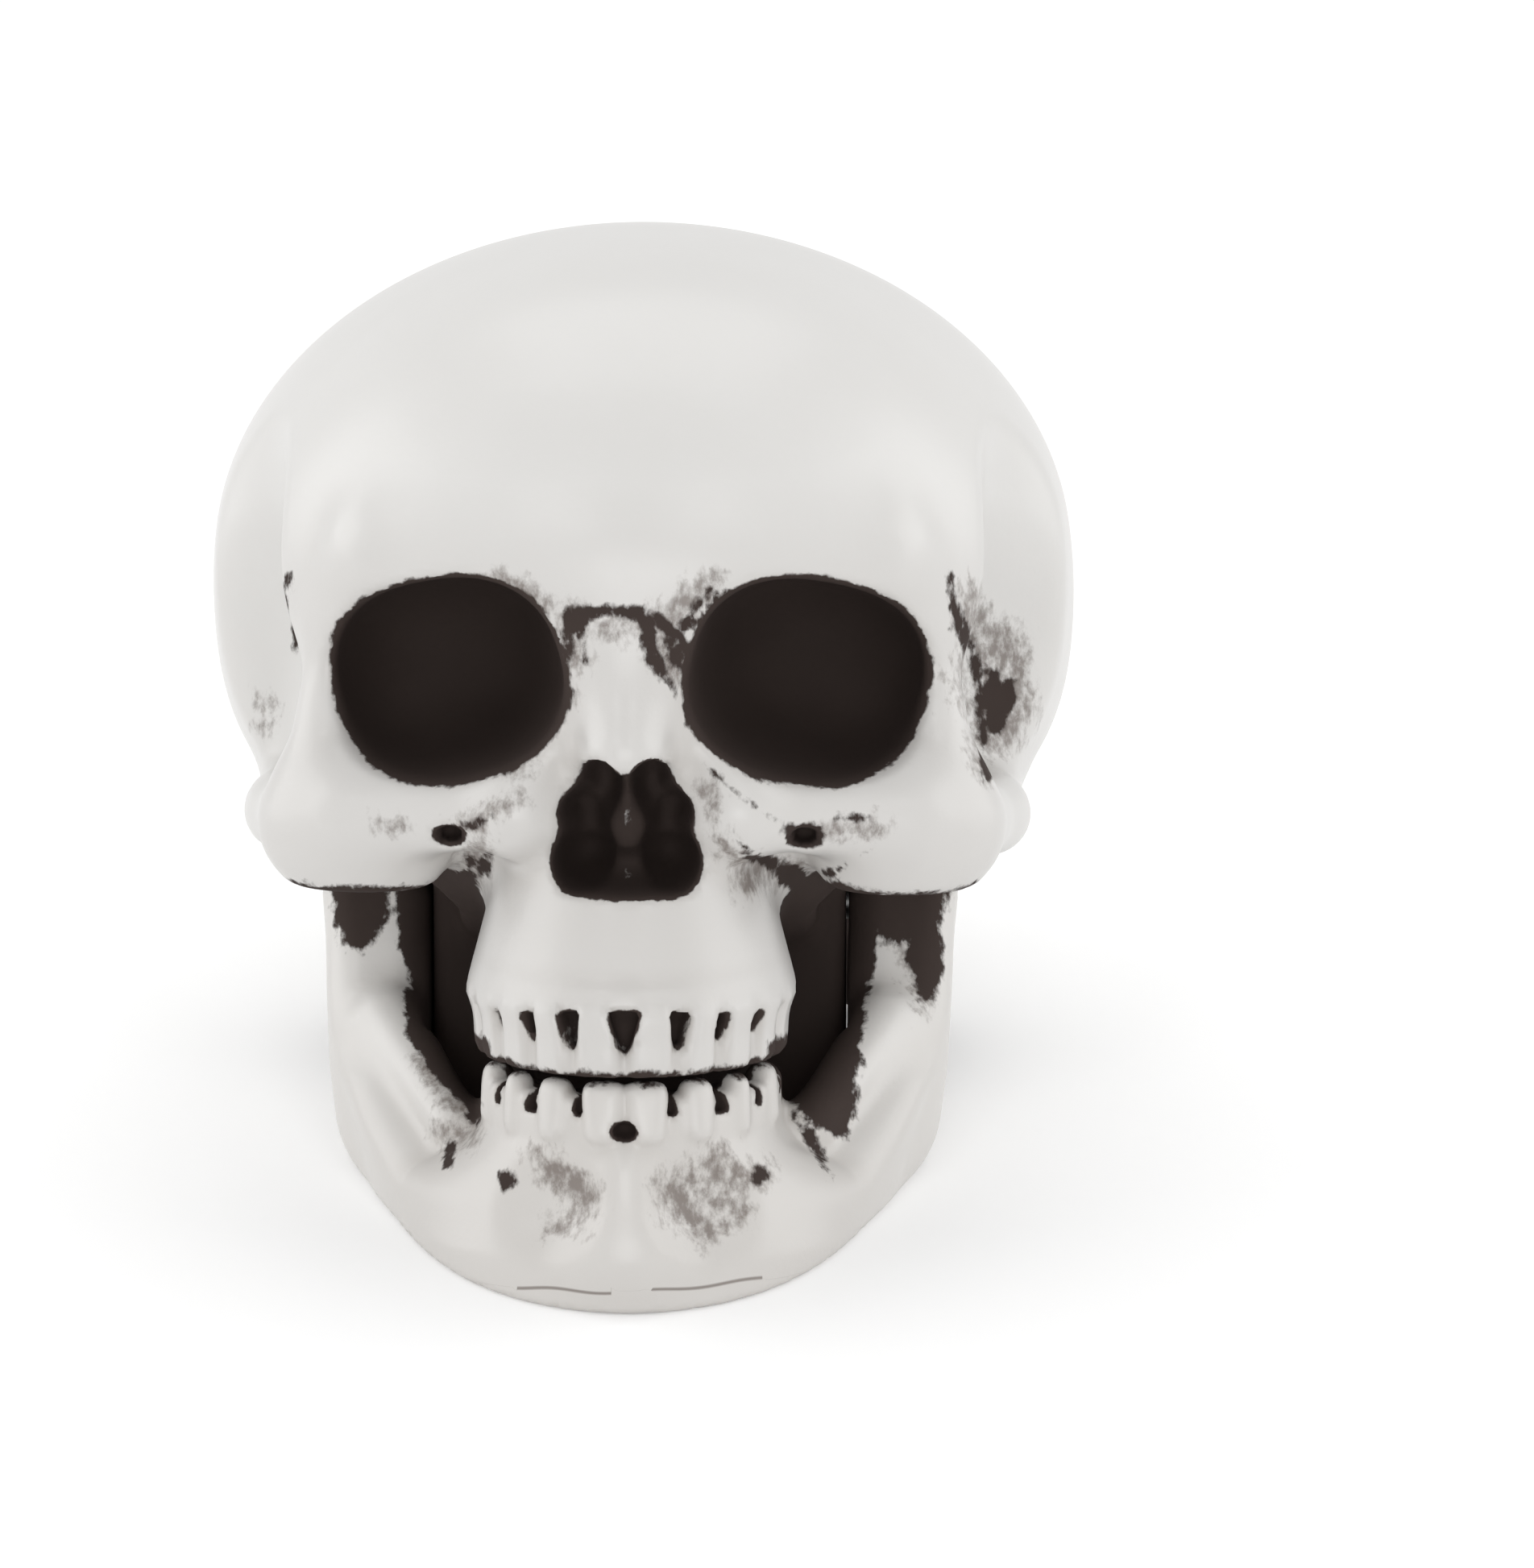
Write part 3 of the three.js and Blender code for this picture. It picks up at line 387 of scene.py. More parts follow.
def nose_opening(h):
    hole = blend_eggs(h, ellipsoid(h, *NOSE_TOP), NOSE_SCOOPS, add)
    return trim(hole, NOSE_FLOOR_Z - h[:, 2], 0.4)


def cheek_nerve_hole(h):
    return ellipsoid(h, *NERVE_HOLE)


print("sockets are", 2 * SOCKET_HALF_WIDTH, "by", 2 * SOCKET_HALF_HEIGHT, "mm")

# %% [markdown]
# The teeth stand round two elliptical arches. Each is a rounded block, narrower at the neck than at the
# tip. Between the necks lie wedge-shaped pits. Both are described beside the arch: how far sideways along
# it, how far outwards from it. Angles run round the arch from the middle of the mouth, and every width,
# height and depth is half the real one.

# %% One tooth and one pit
MOUTH_Y = -12.0
NECK_WIDTH_SHARE = 0.8
TIP_WIDENING = 0.2
TIP_LEAN = 0.15
TIP_THINNING = 0.35
PIT_MIDDLE_SHARE = 0.62
PIT_TAPER = 0.38
PIT_ROUNDING = 0.28


def beside_arch(h, angle, arch):
    across, along = arch
    normal = np.array([math.sin(angle) / across, -math.cos(angle) / along])
    normal /= np.linalg.norm(normal)
    off_x = h[:, 0] - across * math.sin(angle)
    off_y = h[:, 1] - MOUTH_Y + along * math.cos(angle)
    return off_y * normal[0] - off_x * normal[1], off_x * normal[0] + off_y * normal[1]


def tooth(h, angle, arch, half_width, neck_z, tip_z, half_thickness, rounding):
    sideways, outwards = beside_arch(h, angle, arch)
    share = np.clip((h[:, 2] - neck_z) / (tip_z - neck_z), 0, 1)
    over_u = np.abs(sideways) - half_width * (NECK_WIDTH_SHARE + TIP_WIDENING * share)
    over_v = np.abs(outwards - TIP_LEAN * share) - half_thickness * (1 - TIP_THINNING * share)
    over_z = np.abs(h[:, 2] - (neck_z + tip_z) / 2) - abs(tip_z - neck_z) / 2
    return rounded_block(over_u, over_v, over_z, rounding)


def wedge_pit(h, angle, arch, half_width, half_height, z, depth, point):
    sideways, outwards = beside_arch(h, angle, arch)
    rise = np.clip(point * (h[:, 2] - z) / half_height, -1, 1)
    over_u = np.abs(sideways) - half_width * (PIT_MIDDLE_SHARE - PIT_TAPER * rise)
    over_z = np.abs(h[:, 2] - z) - half_height
    return rounded_block(over_u, np.abs(outwards) - depth, over_z, PIT_ROUNDING)


print("a tooth narrows to", NECK_WIDTH_SHARE, "of its width at the neck")

# %% [markdown]
# The casting is crude, so the rows are uneven. The upper one is a rounded band with the pits pressed in
# and fine seams below them. The lower one is a set of loose pegs with a wide block in the middle.

# %% Both rows of teeth
UPPER_ARCH = (6.9, 8.75)
UPPER_TEETH = [(0.155, 1.30), (0.46, 1.22), (0.77, 1.15), (1.08, 1.15), (1.40, 1.25)]
UPPER_TOOTH = {"neck_z": 16.0, "tip_z": 12.6, "half_thickness": 1.32, "rounding": 0.5}
UPPER_PIT_ARCH = (8.05, 9.9)
UPPER_PITS = [(0.0, 0.85, 1.08), (0.36, 0.62, 0.98), (0.66, 0.38, 0.72), (0.97, 0.32, 0.52)]
UPPER_PIT = {"z": 14.8, "depth": 1.5, "point": -1}
BAND_OUTER_ARCH = (7.75, 9.6)
BAND_INNER_ARCH = (5.2, 7.0)
BAND_FOOT_Z = 12.62
BAND_TOP_Z = 17.0
BAND_END = 2.0
TOOTH_SEAM_RADIUS = 0.37
TOOTH_SEAM_TOP_Z = 14.6
LOWER_ARCH = (6.85, 8.5)
LOWER_TEETH = [(0.15, 1.14), (0.52, 0.9), (0.88, 0.68), (1.28, 0.8)]
LOWER_TOOTH = {"neck_z": 9.0, "tip_z": 12.2, "half_thickness": 1.1, "rounding": 0.68}
LOWER_PIT_ARCH = (7.6, 9.3)
LOWER_PITS = [(0.335, 0.3, 0.5), (0.71, 0.52, 0.58), (1.07, 0.44, 0.56), (1.47, 0.36, 0.5)]
LOWER_PIT = {"z": 10.95, "depth": 1.1, "point": 1}
MIDDLE_PIT = ((0, -21.2, 9.75), (0.62, 1.2, 0.45))


def upper_band(h):
    x, y, z = h.T
    outer = plan_ellipse(x, y - MOUTH_Y, *BAND_OUTER_ARCH)
    inner = plan_ellipse(x, y - MOUTH_Y, *BAND_INNER_ARCH)
    band = trim(carve(outer, inner, 0.5), np.maximum(BAND_FOOT_Z - z, z - BAND_TOP_Z), 0.5)
    return trim(band, y - MOUTH_Y - BAND_END, 0.6)


def upper_teeth(h, d):
    d = add(d, upper_band(h), 0.5)
    for angle, half_width in UPPER_TEETH:
        d = add(d, tooth(h, angle, UPPER_ARCH, half_width, **UPPER_TOOTH), 0.55)
    return d


def tooth_seams(h):
    seams = []
    for angle, _, _ in UPPER_PITS:
        sideways, outwards = beside_arch(h, angle, UPPER_PIT_ARCH)
        seams.append(np.hypot(sideways, outwards) - TOOTH_SEAM_RADIUS)
    return np.maximum(np.min(seams, axis=0), h[:, 2] - TOOTH_SEAM_TOP_Z)


def upper_pits(h):
    pits = [wedge_pit(h, angle, UPPER_PIT_ARCH, w, t, **UPPER_PIT) for angle, w, t in UPPER_PITS]
    return np.min(pits, axis=0)


def lower_teeth(h, d):
    for angle, half_width in LOWER_TEETH:
        d = add(d, tooth(h, angle, LOWER_ARCH, half_width, **LOWER_TOOTH), 0.3)
    return d


def lower_pits(h):
    pits = [wedge_pit(h, angle, LOWER_PIT_ARCH, w, t, **LOWER_PIT) for angle, w, t in LOWER_PITS]
    pits.append(ellipsoid(h, *MIDDLE_PIT))
    return np.min(pits, axis=0)


print("teeth above and below on each side:", len(UPPER_TEETH), len(LOWER_TEETH))

# %% [markdown]
# Now the whole upper head in one function: braincase, face, the upper jaw with its teeth, the block that
# holds the hinge pins, and the room beside it in which the jaw swings. The order matters, because each
# step works on everything before it: the room is cut before the block is added inside it.

# %% The upper head
CHIN_Y = -18.5
TABLE_AT_CHIN_Z = 1.0
TABLE_SLOPE = math.tan(REST_TILT)
UPPER_JAW_ARCH = (6.3, 8.0)
UPPER_JAW_SPREAD = (2.25, 1.75)
SPREAD_TOP_Z = 24
SPREAD_HEIGHT = 8.5
UPPER_JAW_FOOT_Z = 14.9
UPPER_JAW_TOP_Z = 27
UPPER_JAW_END = 9.0
BLOCK_HALF_WIDTH = 10.88
BLOCK_HALF_LENGTH = 5.2
BLOCK_RISE = 6.5
BLOCK_LIFT = 0.5
MASTOID = ((14.0, 11.6, 24.0), (12.4, 12.8, 13.0), 3.8, 2.6)
RAMUS_TOP_Z = 20.8
SWING_OVERLAP = 1.5
SWING_OUTER_X = 18.05
SWING_FRONT_Y = -6.5
SWING_REAR_Y = 7.6
SWING_REAR_SLOPE = 0.42
SWING_HEADROOM = 0.8
MOUTH_TOP_Z = 19.0


def table_height(y):
    return TABLE_AT_CHIN_Z + TABLE_SLOPE * (y - CHIN_Y)


def upper_jaw(h):
    x, y, z = h.T
    spread = np.clip((SPREAD_TOP_Z - z) / SPREAD_HEIGHT, 0, 1)
    half_width, half_length = (a + b * spread for a, b in zip(UPPER_JAW_ARCH, UPPER_JAW_SPREAD))
    wall = plan_ellipse(x, y - MOUTH_Y, half_width, half_length)
    slab = trim(wall, np.maximum(UPPER_JAW_FOOT_Z - z, z - UPPER_JAW_TOP_Z), 1.4)
    return trim(slab, y - MOUTH_Y - UPPER_JAW_END, 2)


def hinge_block(h):
    x, y, z = h.T
    over_y = np.abs(y - HINGE_Y) - BLOCK_HALF_LENGTH
    block = rounded_block(x - BLOCK_HALF_WIDTH, over_y, z - HINGE_Z - BLOCK_RISE, 0.8)
    return trim(block, table_height(y) + BLOCK_LIFT - z, 0.5)


def swing_room(h):
    x, y, z = h.T
    rear = y - SWING_REAR_Y - SWING_REAR_SLOPE * (HINGE_Z - z)
    over_y = np.maximum(SWING_FRONT_Y - y, rear)
    over_x = np.maximum(BLOCK_HALF_WIDTH - SWING_OVERLAP - x, x - SWING_OUTER_X)
    return rounded_block(over_x, over_y, z - RAMUS_TOP_Z - SWING_HEADROOM, 1.5)


def head_blank(h):
    d = add(braincase(h), rod(h, *MASTOID), 2.5)
    d = add(brow_and_nose(h, d), cheekbone(h), 1.3)
    d = carve(d, swing_room(h), 0.8)
    d = add(d, upper_jaw(h), 1.2)
    return add(d, hinge_block(h), 1.0)


def upper_head(p):
    h = mirrored(p)
    d = head_blank(h)
    mouth = h[:, 2] < MOUTH_TOP_Z
    near = h[mouth]
    rows = carve(upper_teeth(near, d[mouth]), tooth_seams(near), 0.4)
    d[mouth] = carve(rows, upper_pits(near), 0.25)
    d = carve(d, eye_socket(h), 0.8)
    d = carve(d, nose_opening(h), 0.45)
    return carve(d, cheek_nerve_hole(h), 0.35)


print("upper head at the crown:", np.round(upper_head(np.array([[0.0, CRANIUM_Y, CROWN_Z]])), 2), "mm")

# %% [markdown]
# The real thing is moulded in two hollow halves, parted just behind the hinge and drawn together by three
# screws from the back. The hollow is the same form, shrunk by one wall, so the wall is even without any
# Solidify modifier. Posts for the screws are left standing in it.

# %% Face half and rear half
WALL = 1.8
HOLLOW_SET_BACK = 1.5
HOLLOW_SET_UP = 0.6
HOLLOW_ROOF = 1.4
SEAM_Y = HINGE_Y + 2.7
SEAM_GAP = 0.25
SIDE_SCREW_X = 9.0
SIDE_SCREW_Z = 33.0
CROWN_SCREW_Z = CROWN_Z - 7.6
SCREW_PLACES = [(-SIDE_SCREW_X, SIDE_SCREW_Z), (SIDE_SCREW_X, SIDE_SCREW_Z), (0.0, CROWN_SCREW_Z)]
SCREW_SEAT_Y = SEAM_Y + SEAM_GAP / 2 + 5.0
SCREW_BORE_RADIUS = 1.25
SCREW_BORE_END_Y = 0.1
COUNTERBORE_RADIUS = 2.3
POST_RADIUS = 3.7
PIN_BORE_RADIUS = 1.15
PIN_BORE_END_X = 5.3
FLAT_AT_CHIN_Z = 1.1
FLOOR_DROP = FLAT_AT_CHIN_Z * math.cos(REST_TILT) - CHIN_Y * math.sin(REST_TILT)
BORE_EDGE = 0.1
SEAM_EDGE = 0.25


def around_screws(p, radius):
    return np.min([np.hypot(p[:, 0] - x, p[:, 2] - z) for x, z in SCREW_PLACES], axis=0) - radius


def around_hinge(p, radius):
    return np.hypot(p[:, 1] - HINGE_Y, p[:, 2] - HINGE_Z) - radius


def above_table(p):
    return FLOOR_DROP - p[:, 2] * math.cos(REST_TILT) + p[:, 1] * math.sin(REST_TILT)


def hollow(p, skin):
    half = (CRANIUM_WIDTH / 2 - WALL, CRANIUM_LENGTH / 2 - WALL, CRANIUM_HEIGHT / 2 - WALL - HOLLOW_ROOF)
    limit = ellipsoid(p, (0, CRANIUM_Y + HOLLOW_SET_BACK, CRANIUM_Z + HOLLOW_SET_UP), half)
    return carve(trim(skin + WALL, limit, 0.5), around_screws(p, POST_RADIUS), 0.6)


def hollow_head(p):
    skin = upper_head(p)
    bores = trim(around_screws(p, SCREW_BORE_RADIUS), SCREW_BORE_END_Y - p[:, 1], BORE_EDGE)
    return carve(carve(skin, hollow(p, skin), 0.4), bores, BORE_EDGE)


def face_half(p):
    pin_bore = trim(around_hinge(p, PIN_BORE_RADIUS), PIN_BORE_END_X - np.abs(p[:, 0]), BORE_EDGE)
    d = carve(hollow_head(p), pin_bore, BORE_EDGE)
    return trim(d, p[:, 1] - SEAM_Y + SEAM_GAP / 2, SEAM_EDGE)


def rear_half(p):
    counterbore = trim(around_screws(p, COUNTERBORE_RADIUS), SCREW_SEAT_Y - p[:, 1], BORE_EDGE)
    d = carve(hollow_head(p), counterbore, 0.35)
    d = trim(d, SEAM_Y + SEAM_GAP / 2 - p[:, 1], SEAM_EDGE)
    return trim(d, above_table(p), 0.4)


print("seam at", SEAM_Y, "mm, wall", WALL, "mm")

# %% [markdown]
# The lower jaw is a horseshoe: a curved wall in front, a flat branch on each side that rises to the hinge,
# a ridge on top that carries the teeth, and a thin floor inside. The table cuts it off flat underneath.

# %% Wall and branches of the jaw
JAW_BACK_Y = -4.0
JAW_HALF_WIDTH = 13.3
JAW_HALF_LENGTH = 15.0
JAW_WIDENING = 0.22
JAW_SHORTENING = 0.10
JAW_WIDEST_Z = 10
CHIN_TUCK = 0.2
CHIN_TUCK_Z = 2.8
SIDE_TUCK_SHARE = 0.5
JAW_SIDE_WALL = 3.4
JAW_FRONT_WALL = 4.6
JAW_WALL_END = 2.0
JAW_WALL_TOP_Z = 6.8
JAW_WALL_SLOPE = 0.85
RAMUS_INNER_X = 11.0
RAMUS_OUTER_X = 15.7
RAMUS_FOOT_Z = 8
RAMUS_FLARE = 0.1
RAMUS_MIDDLE_Y = 0.6
RAMUS_LEAN = 0.10
RAMUS_HALF_LENGTH = 6.3
RAMUS_TAPER = 0.16
RAMUS_TAPER_Z = 6
NOTCH_Y = -0.4
NOTCH_RISE = 1.2
NOTCH_RADIUS = 2.6
JAW_CORNER_LIFT = 0.6
JAW_CORNER_Y = 1.0
JAW_CORNER_SLOPE = 0.35


def jaw_wall(h):
    x, y, z = h.T
    lift = np.clip(z, 0, JAW_WIDEST_Z)
    tuck = CHIN_TUCK * np.clip(CHIN_TUCK_Z - z, 0, CHIN_TUCK_Z) ** 2
    half_width = JAW_HALF_WIDTH + JAW_WIDENING * lift - SIDE_TUCK_SHARE * tuck
    half_length = JAW_HALF_LENGTH - JAW_SHORTENING * lift - tuck
    outer = plan_ellipse(x, y - JAW_BACK_Y, half_width, half_length)
    inner = plan_ellipse(x, y - JAW_BACK_Y, half_width - JAW_SIDE_WALL, half_length - JAW_FRONT_WALL)
    wall = trim(carve(outer, inner, 1.0), y - JAW_BACK_Y - JAW_WALL_END, 1.0)
    return trim(wall, z - JAW_WALL_TOP_Z - JAW_WALL_SLOPE * np.maximum(y - MOUTH_Y, 0), 2.6)


def ramus(h):
    x, y, z = h.T
    outer = RAMUS_OUTER_X + RAMUS_FLARE * np.maximum(z - RAMUS_FOOT_Z, 0)
    over_x = np.maximum(RAMUS_INNER_X - x, x - outer)
    off_middle = np.abs(y - RAMUS_MIDDLE_Y - RAMUS_LEAN * (z - RAMUS_FOOT_Z))
    over_y = off_middle - RAMUS_HALF_LENGTH + RAMUS_TAPER * (z - RAMUS_TAPER_Z)
    branch = rounded_block(over_x, over_y, z - RAMUS_TOP_Z, 1.9)
    branch = carve(branch, np.hypot(y - NOTCH_Y, z - RAMUS_TOP_Z - NOTCH_RISE) - NOTCH_RADIUS, 0.8)
    corner = table_height(y) + JAW_CORNER_LIFT + JAW_CORNER_SLOPE * np.maximum(y - JAW_CORNER_Y, 0)
    return trim(branch, corner - z, 2.5)


print("jaw branches stand", 2 * RAMUS_INNER_X, "mm apart")

# %% [markdown]
# On the horseshoe come the ridge for the teeth, the floor, a slanting ridge from each branch to the teeth,
# and the boss of the chin with a hollow on either side. Last, room is cut for the hinge block, which turns
# past the inside of the branches as the mouth opens, and the pin holes are bored.

# %% The lower jaw
RIDGE_ARCH = (7.7, 9.0)
RIDGE_SPREAD = (0.45, 0.02)
RIDGE_NECK_Z = 9.0
RIDGE_SPREAD_HEIGHT = 6
RIDGE_THICKNESS = 2.8
RIDGE_TOP_Z = 11.4
RIDGE_END = 5.0
FLOOR_ARCH = (12.0, 14.0)
FLOOR_THICKNESS = 1.2
SLANTING_RIDGE = ((13.0, -4.6, 12.6), (9.2, -11.0, 8.4), 1.8, 1.3)
CHIN_BOSS = ((0, -19.6, 3.6), (3.4, 2.4, 2.6))
CHIN_RIB = ((0, -20.2, 3.6), (0, -20.6, 7.6), 1.3, 0.9)
CHIN_HOLLOW = ((5.0, -21.4, 5.8), (3.0, 2.2, 2.3))
BLOCK_FRONT_Y = -1.9
BLOCK_ROOM_FRONT_Y = -6.6
BLOCK_ROOM_FOOT_Z = 5.4
BLOCK_SWEEP_SLOPE = 0.62
SPOT_FACE_X = 15.4
SPOT_FACE_RADIUS = 2.1


def tooth_ridge(h):
    x, y, z = h.T
    widen = np.clip(RIDGE_NECK_Z - z, 0, RIDGE_SPREAD_HEIGHT)
    half_width, half_length = (a + b * widen for a, b in zip(RIDGE_ARCH, RIDGE_SPREAD))
    outer = plan_ellipse(x, y - MOUTH_Y, half_width, half_length)
    inner = plan_ellipse(x, y - MOUTH_Y, half_width - RIDGE_THICKNESS, half_length - RIDGE_THICKNESS)
    ring = trim(carve(outer, inner, 0.8), z - RIDGE_TOP_Z, 0.6)
    return trim(ring, y - MOUTH_Y - RIDGE_END, 1.0)


def mouth_floor(h):
    x, y, z = h.T
    plate = plan_ellipse(x, y - JAW_BACK_Y, *FLOOR_ARCH)
    return trim(plate, np.maximum(z - table_height(y) - FLOOR_THICKNESS, y - JAW_BACK_Y), 0.6)


def jaw_blank(h):
    d = add(jaw_wall(h), ramus(h), 2.0)
    d = add(d, tooth_ridge(h), 2.4)
    d = add(d, mouth_floor(h), 1.0)
    d = add(d, rod(h, *SLANTING_RIDGE), 1.2)
    d = add(d, ellipsoid(h, *CHIN_BOSS), 1.5)
    d = add(d, rod(h, *CHIN_RIB), 1.6)
    d = carve(d, ellipsoid(h, *CHIN_HOLLOW), 1.6)
    return lower_teeth(h, d)


def block_room(h):
    x, y, z = h.T
    under_sweep = BLOCK_ROOM_FOOT_Z + BLOCK_SWEEP_SLOPE * (BLOCK_FRONT_Y - y) - z
    return np.max([x - RAMUS_INNER_X, BLOCK_ROOM_FRONT_Y - y, under_sweep], axis=0)


def lower_jaw(p):
    h = mirrored(p)
    d = carve(jaw_blank(h), lower_pits(h), 0.25)
    d = carve(d, block_room(h), 0.15)
    d = carve(d, around_hinge(p, PIN_BORE_RADIUS), BORE_EDGE)
    spot_face = trim(around_hinge(p, SPOT_FACE_RADIUS), SPOT_FACE_X - h[:, 0], BORE_EDGE)
    return trim(carve(d, spot_face, 0.2), above_table(p), 0.5)


print("chin boss at", CHIN_BOSS[0][1], "mm, tooth ridge up to", RIDGE_TOP_Z, "mm")

# %% [markdown]
# The paint on the real skull was brushed into the hollows and wiped off the high places, so where it lies
# follows the shape. A painted picture would need a UV map; numbers stored on the vertices need none.
# "paint" is how many millimetres a vertex lies inside a painted patch, and "wash" is the same for thin,
# wiped-over patches. "hollow" is how much of a crease it sits in; the creases are darkened by it, partly
# as paint left there and partly as painted shade. "film" is a faint painted shade over the middle of the
# face. "seam" is the height above the thin parting line under the chin: a straight slope stays exact
# between vertices, so it can draw a line much finer than the mesh. The material later breaks up the
# edges of the paint. A stroke of the brush is seen from the front: its two ends in X and Z and the radius
# at each.

# %% Brush marks on the upper head
def patches(p, spots):
    return np.max([-ellipsoid(p, centre, radii) for centre, radii in spots], axis=0)


def front_strokes(p, marks, reach_y):
    flat = np.column_stack([p[:, 0], np.zeros(len(p)), p[:, 2]])
    ends = [((x0, 0, z0), (x1, 0, z1), r0, r1) for (x0, z0), (x1, z1), r0, r1 in marks]
    drawn = np.max([-rod(flat, *mark) for mark in ends], axis=0)
    return np.minimum(drawn, reach_y - p[:, 1])


NOSE_ROOT_STROKES = [
    ((-2.7, 35.5), (-3.1, 31.8), 0.48, 0.18),
    ((-2.3, 35.4), (-2.0, 33.4), 0.45, 0.2),
    ((-2.2, 35.7), (-0.6, 36.0), 0.42, 0.4),
    ((-0.6, 36.0), (1.0, 35.6), 0.4, 0.42),
    ((1.0, 35.4), (1.6, 33.3), 0.42, 0.2),
    ((1.6, 33.3), (2.5, 31.6), 0.2, 0.12),
    ((1.5, 35.6), (3.2, 33.9), 0.34, 0.4),
    ((2.2, 34.3), (3.2, 32.3), 0.34, 0.16),
    ((3.0, 35.2), (4.2, 36.8), 0.25, 0.1),
]
FACE_STROKES = [
    ((-8.3, 21.4), (-7.3, 24.0), 0.8, 0.5),
    ((-8.3, 24.5), (-5.3, 26.3), 0.4, 0.35),
    ((8.0, 21.5), (6.3, 21.9), 0.7, 0.9),
    ((6.3, 21.9), (4.9, 24.1), 0.8, 0.4),
    ((4.9, 24.1), (4.0, 26.6), 0.4, 0.3),
    ((9.6, 24.5), (12.4, 24.6), 0.3, 0.4),
    ((-11.4, 24.6), (-12.4, 24.7), 0.25, 0.3),
    ((-2.6, 35.6), (-2.4, 33.2), 0.7, 0.5),
    ((1.7, 35.4), (2.6, 32.6), 0.8, 0.5),
    ((2.4, 35.6), (4.4, 37.4), 0.7, 0.5),
    ((-0.8, 35.2), (0.6, 34.9), 0.5, 0.4),
    ((-5.6, 28.0), (-3.4, 31.6), 0.6, 0.6),
    ((-6.4, 37.5), (-3.8, 36.2), 0.45, 0.45),
]
FOSSA_STROKES = [
    ((-8.2, 22.2), (-8.6, 20.8), 0.15, 0.6),
    ((-7.0, 23.2), (-7.6, 21.6), 0.06, 0.25),
    ((6.2, 23.2), (8.4, 21.0), 0.24, 0.6),
    ((5.2, 25.0), (6.4, 22.8), 0.1, 0.22),
    ((-8.5, 24.4), (-6.6, 25.4), 0.26, 0.14),
    ((8.0, 24.7), (9.4, 24.2), 0.4, 0.5),
]
FACE_LINES = [
    ((3.8, 28.1), (6.7, 25.7), 0.04, 0.06),
    ((6.7, 25.7), (7.9, 25.0), 0.06, 0.1),
    ((10.5, 25.3), (12.2, 25.0), 0.04, 0.05),
    ((12.2, 25.0), (12.7, 23.8), 0.05, 0.04),
    ((12.7, 23.8), (9.9, 21.8), 0.04, 0.05),
]
TEMPLE_STROKES = [
    ((16.1, 37.0), (16.6, 34.4), 0.2, 0.36),
    ((16.6, 34.4), (17.5, 32.0), 0.36, 0.26),
    ((17.5, 32.0), (18.0, 29.4), 0.26, 0.36),
    ((17.9, 29.6), (18.1, 26.6), 0.36, 0.12),
    ((18.5, 30.6), (18.7, 28.2), 0.45, 0.6),
    ((19.3, 30.2), (19.3, 29.0), 0.3, 0.35),
    ((-17.5, 36.6), (-17.7, 34.4), 0.14, 0.18),
    ((-17.9, 33.3), (-18.1, 31.8), 0.18, 0.1),
]
TEMPLE_FADES = [
    ((17.0, 35.8), (18.2, 32.0), 0.6, 1.0),
    ((18.4, 32.4), (18.7, 28.0), 1.1, 1.5),
    ((19.4, 32.6), (19.5, 29.0), 0.7, 1.2),
    ((-19.7, 28.8), (-19.9, 27.6), 0.5, 0.3),
]
TEMPLE_HOLLOW = [
    ((16.5, -9.6, 31.6), (3.0, 3.6, 4.4)),
    ((17.0, -6.5, 30.0), (3.2, 3.6, 3.4)),
]
FACE_SPECKS = [
    ((10.0, -19.0, 46.2), (0.2, 3.0, 0.2)),
    ((7.3, -18.0, 49.7), (0.15, 3.0, 0.15)),
]
NOSE_ROOT_REACH_Y = -16.0
FACE_REACH_Y = -8.0
TEMPLE_REACH_Y = 0.0
print("solid strokes on the face:", len(NOSE_ROOT_STROKES + FOSSA_STROKES + TEMPLE_STROKES))

# %% [markdown]
# Solid paint fills the sockets, the nose, the pits between the teeth and the dark room that the jaw swings
# in. It spills a little over each rim; the second number of a spill says how quickly it then ends. A ridge
# in the middle of the nose stays bare.

# %% Where the paint lies on the upper head
PAINT_RANGE = 3.0
SOCKET_SPILL = (0.1, 1)
NOSE_SPILL = (0.06, 2)
PIT_SPILL = (0.08, 3)
NERVE_SPILL = (0.15, 2)
SUNK_REACH = 0.6
SUNK_GAIN = 2
BARE_RIDGE_REACH = 0.3
BARE_RIDGE_PAINT = 0.1
BARE_RIDGE_SLOPE = 0.9
ANY_DEPTH = 9.0
RECESS_FRONT_Y = -10.5
RECESS_REAR_Y = 11.2
BEHIND_BLOCK_Y = 13.6
BEHIND_BLOCK_X = 13.0
RECESS_OUTER_X = 15.5
RECESS_TOP_Z = 21.6
MOUTH_FRONT_Y = -16.8
MOUTH_REAR_Y = 5.0
MOUTH_ROOF_Z = 13.6
CHEEK_LINE_Z = 20.9
CHEEK_LINE_HALF_WIDTH = 0.3
CHEEK_LINE_REAR_Y = -9.5
CHEEK_LINE_X = 8.5
BITE_REAR_Y = -10.0
UPPER_BITE_Z = 12.8
THICKEST_WASH = 0.25
HEAD_WIPED_OFF = 0.2
TEMPLE_FADE = 0.5


def spilt(opening, spill):
    over, steepness = spill
    return steepness * (over - opening)


def with_sunk(openings, blank):
    sunk = np.clip(-blank, 0, PAINT_RANGE)
    return openings + np.where(openings > -SUNK_REACH, SUNK_GAIN * sunk, 0)


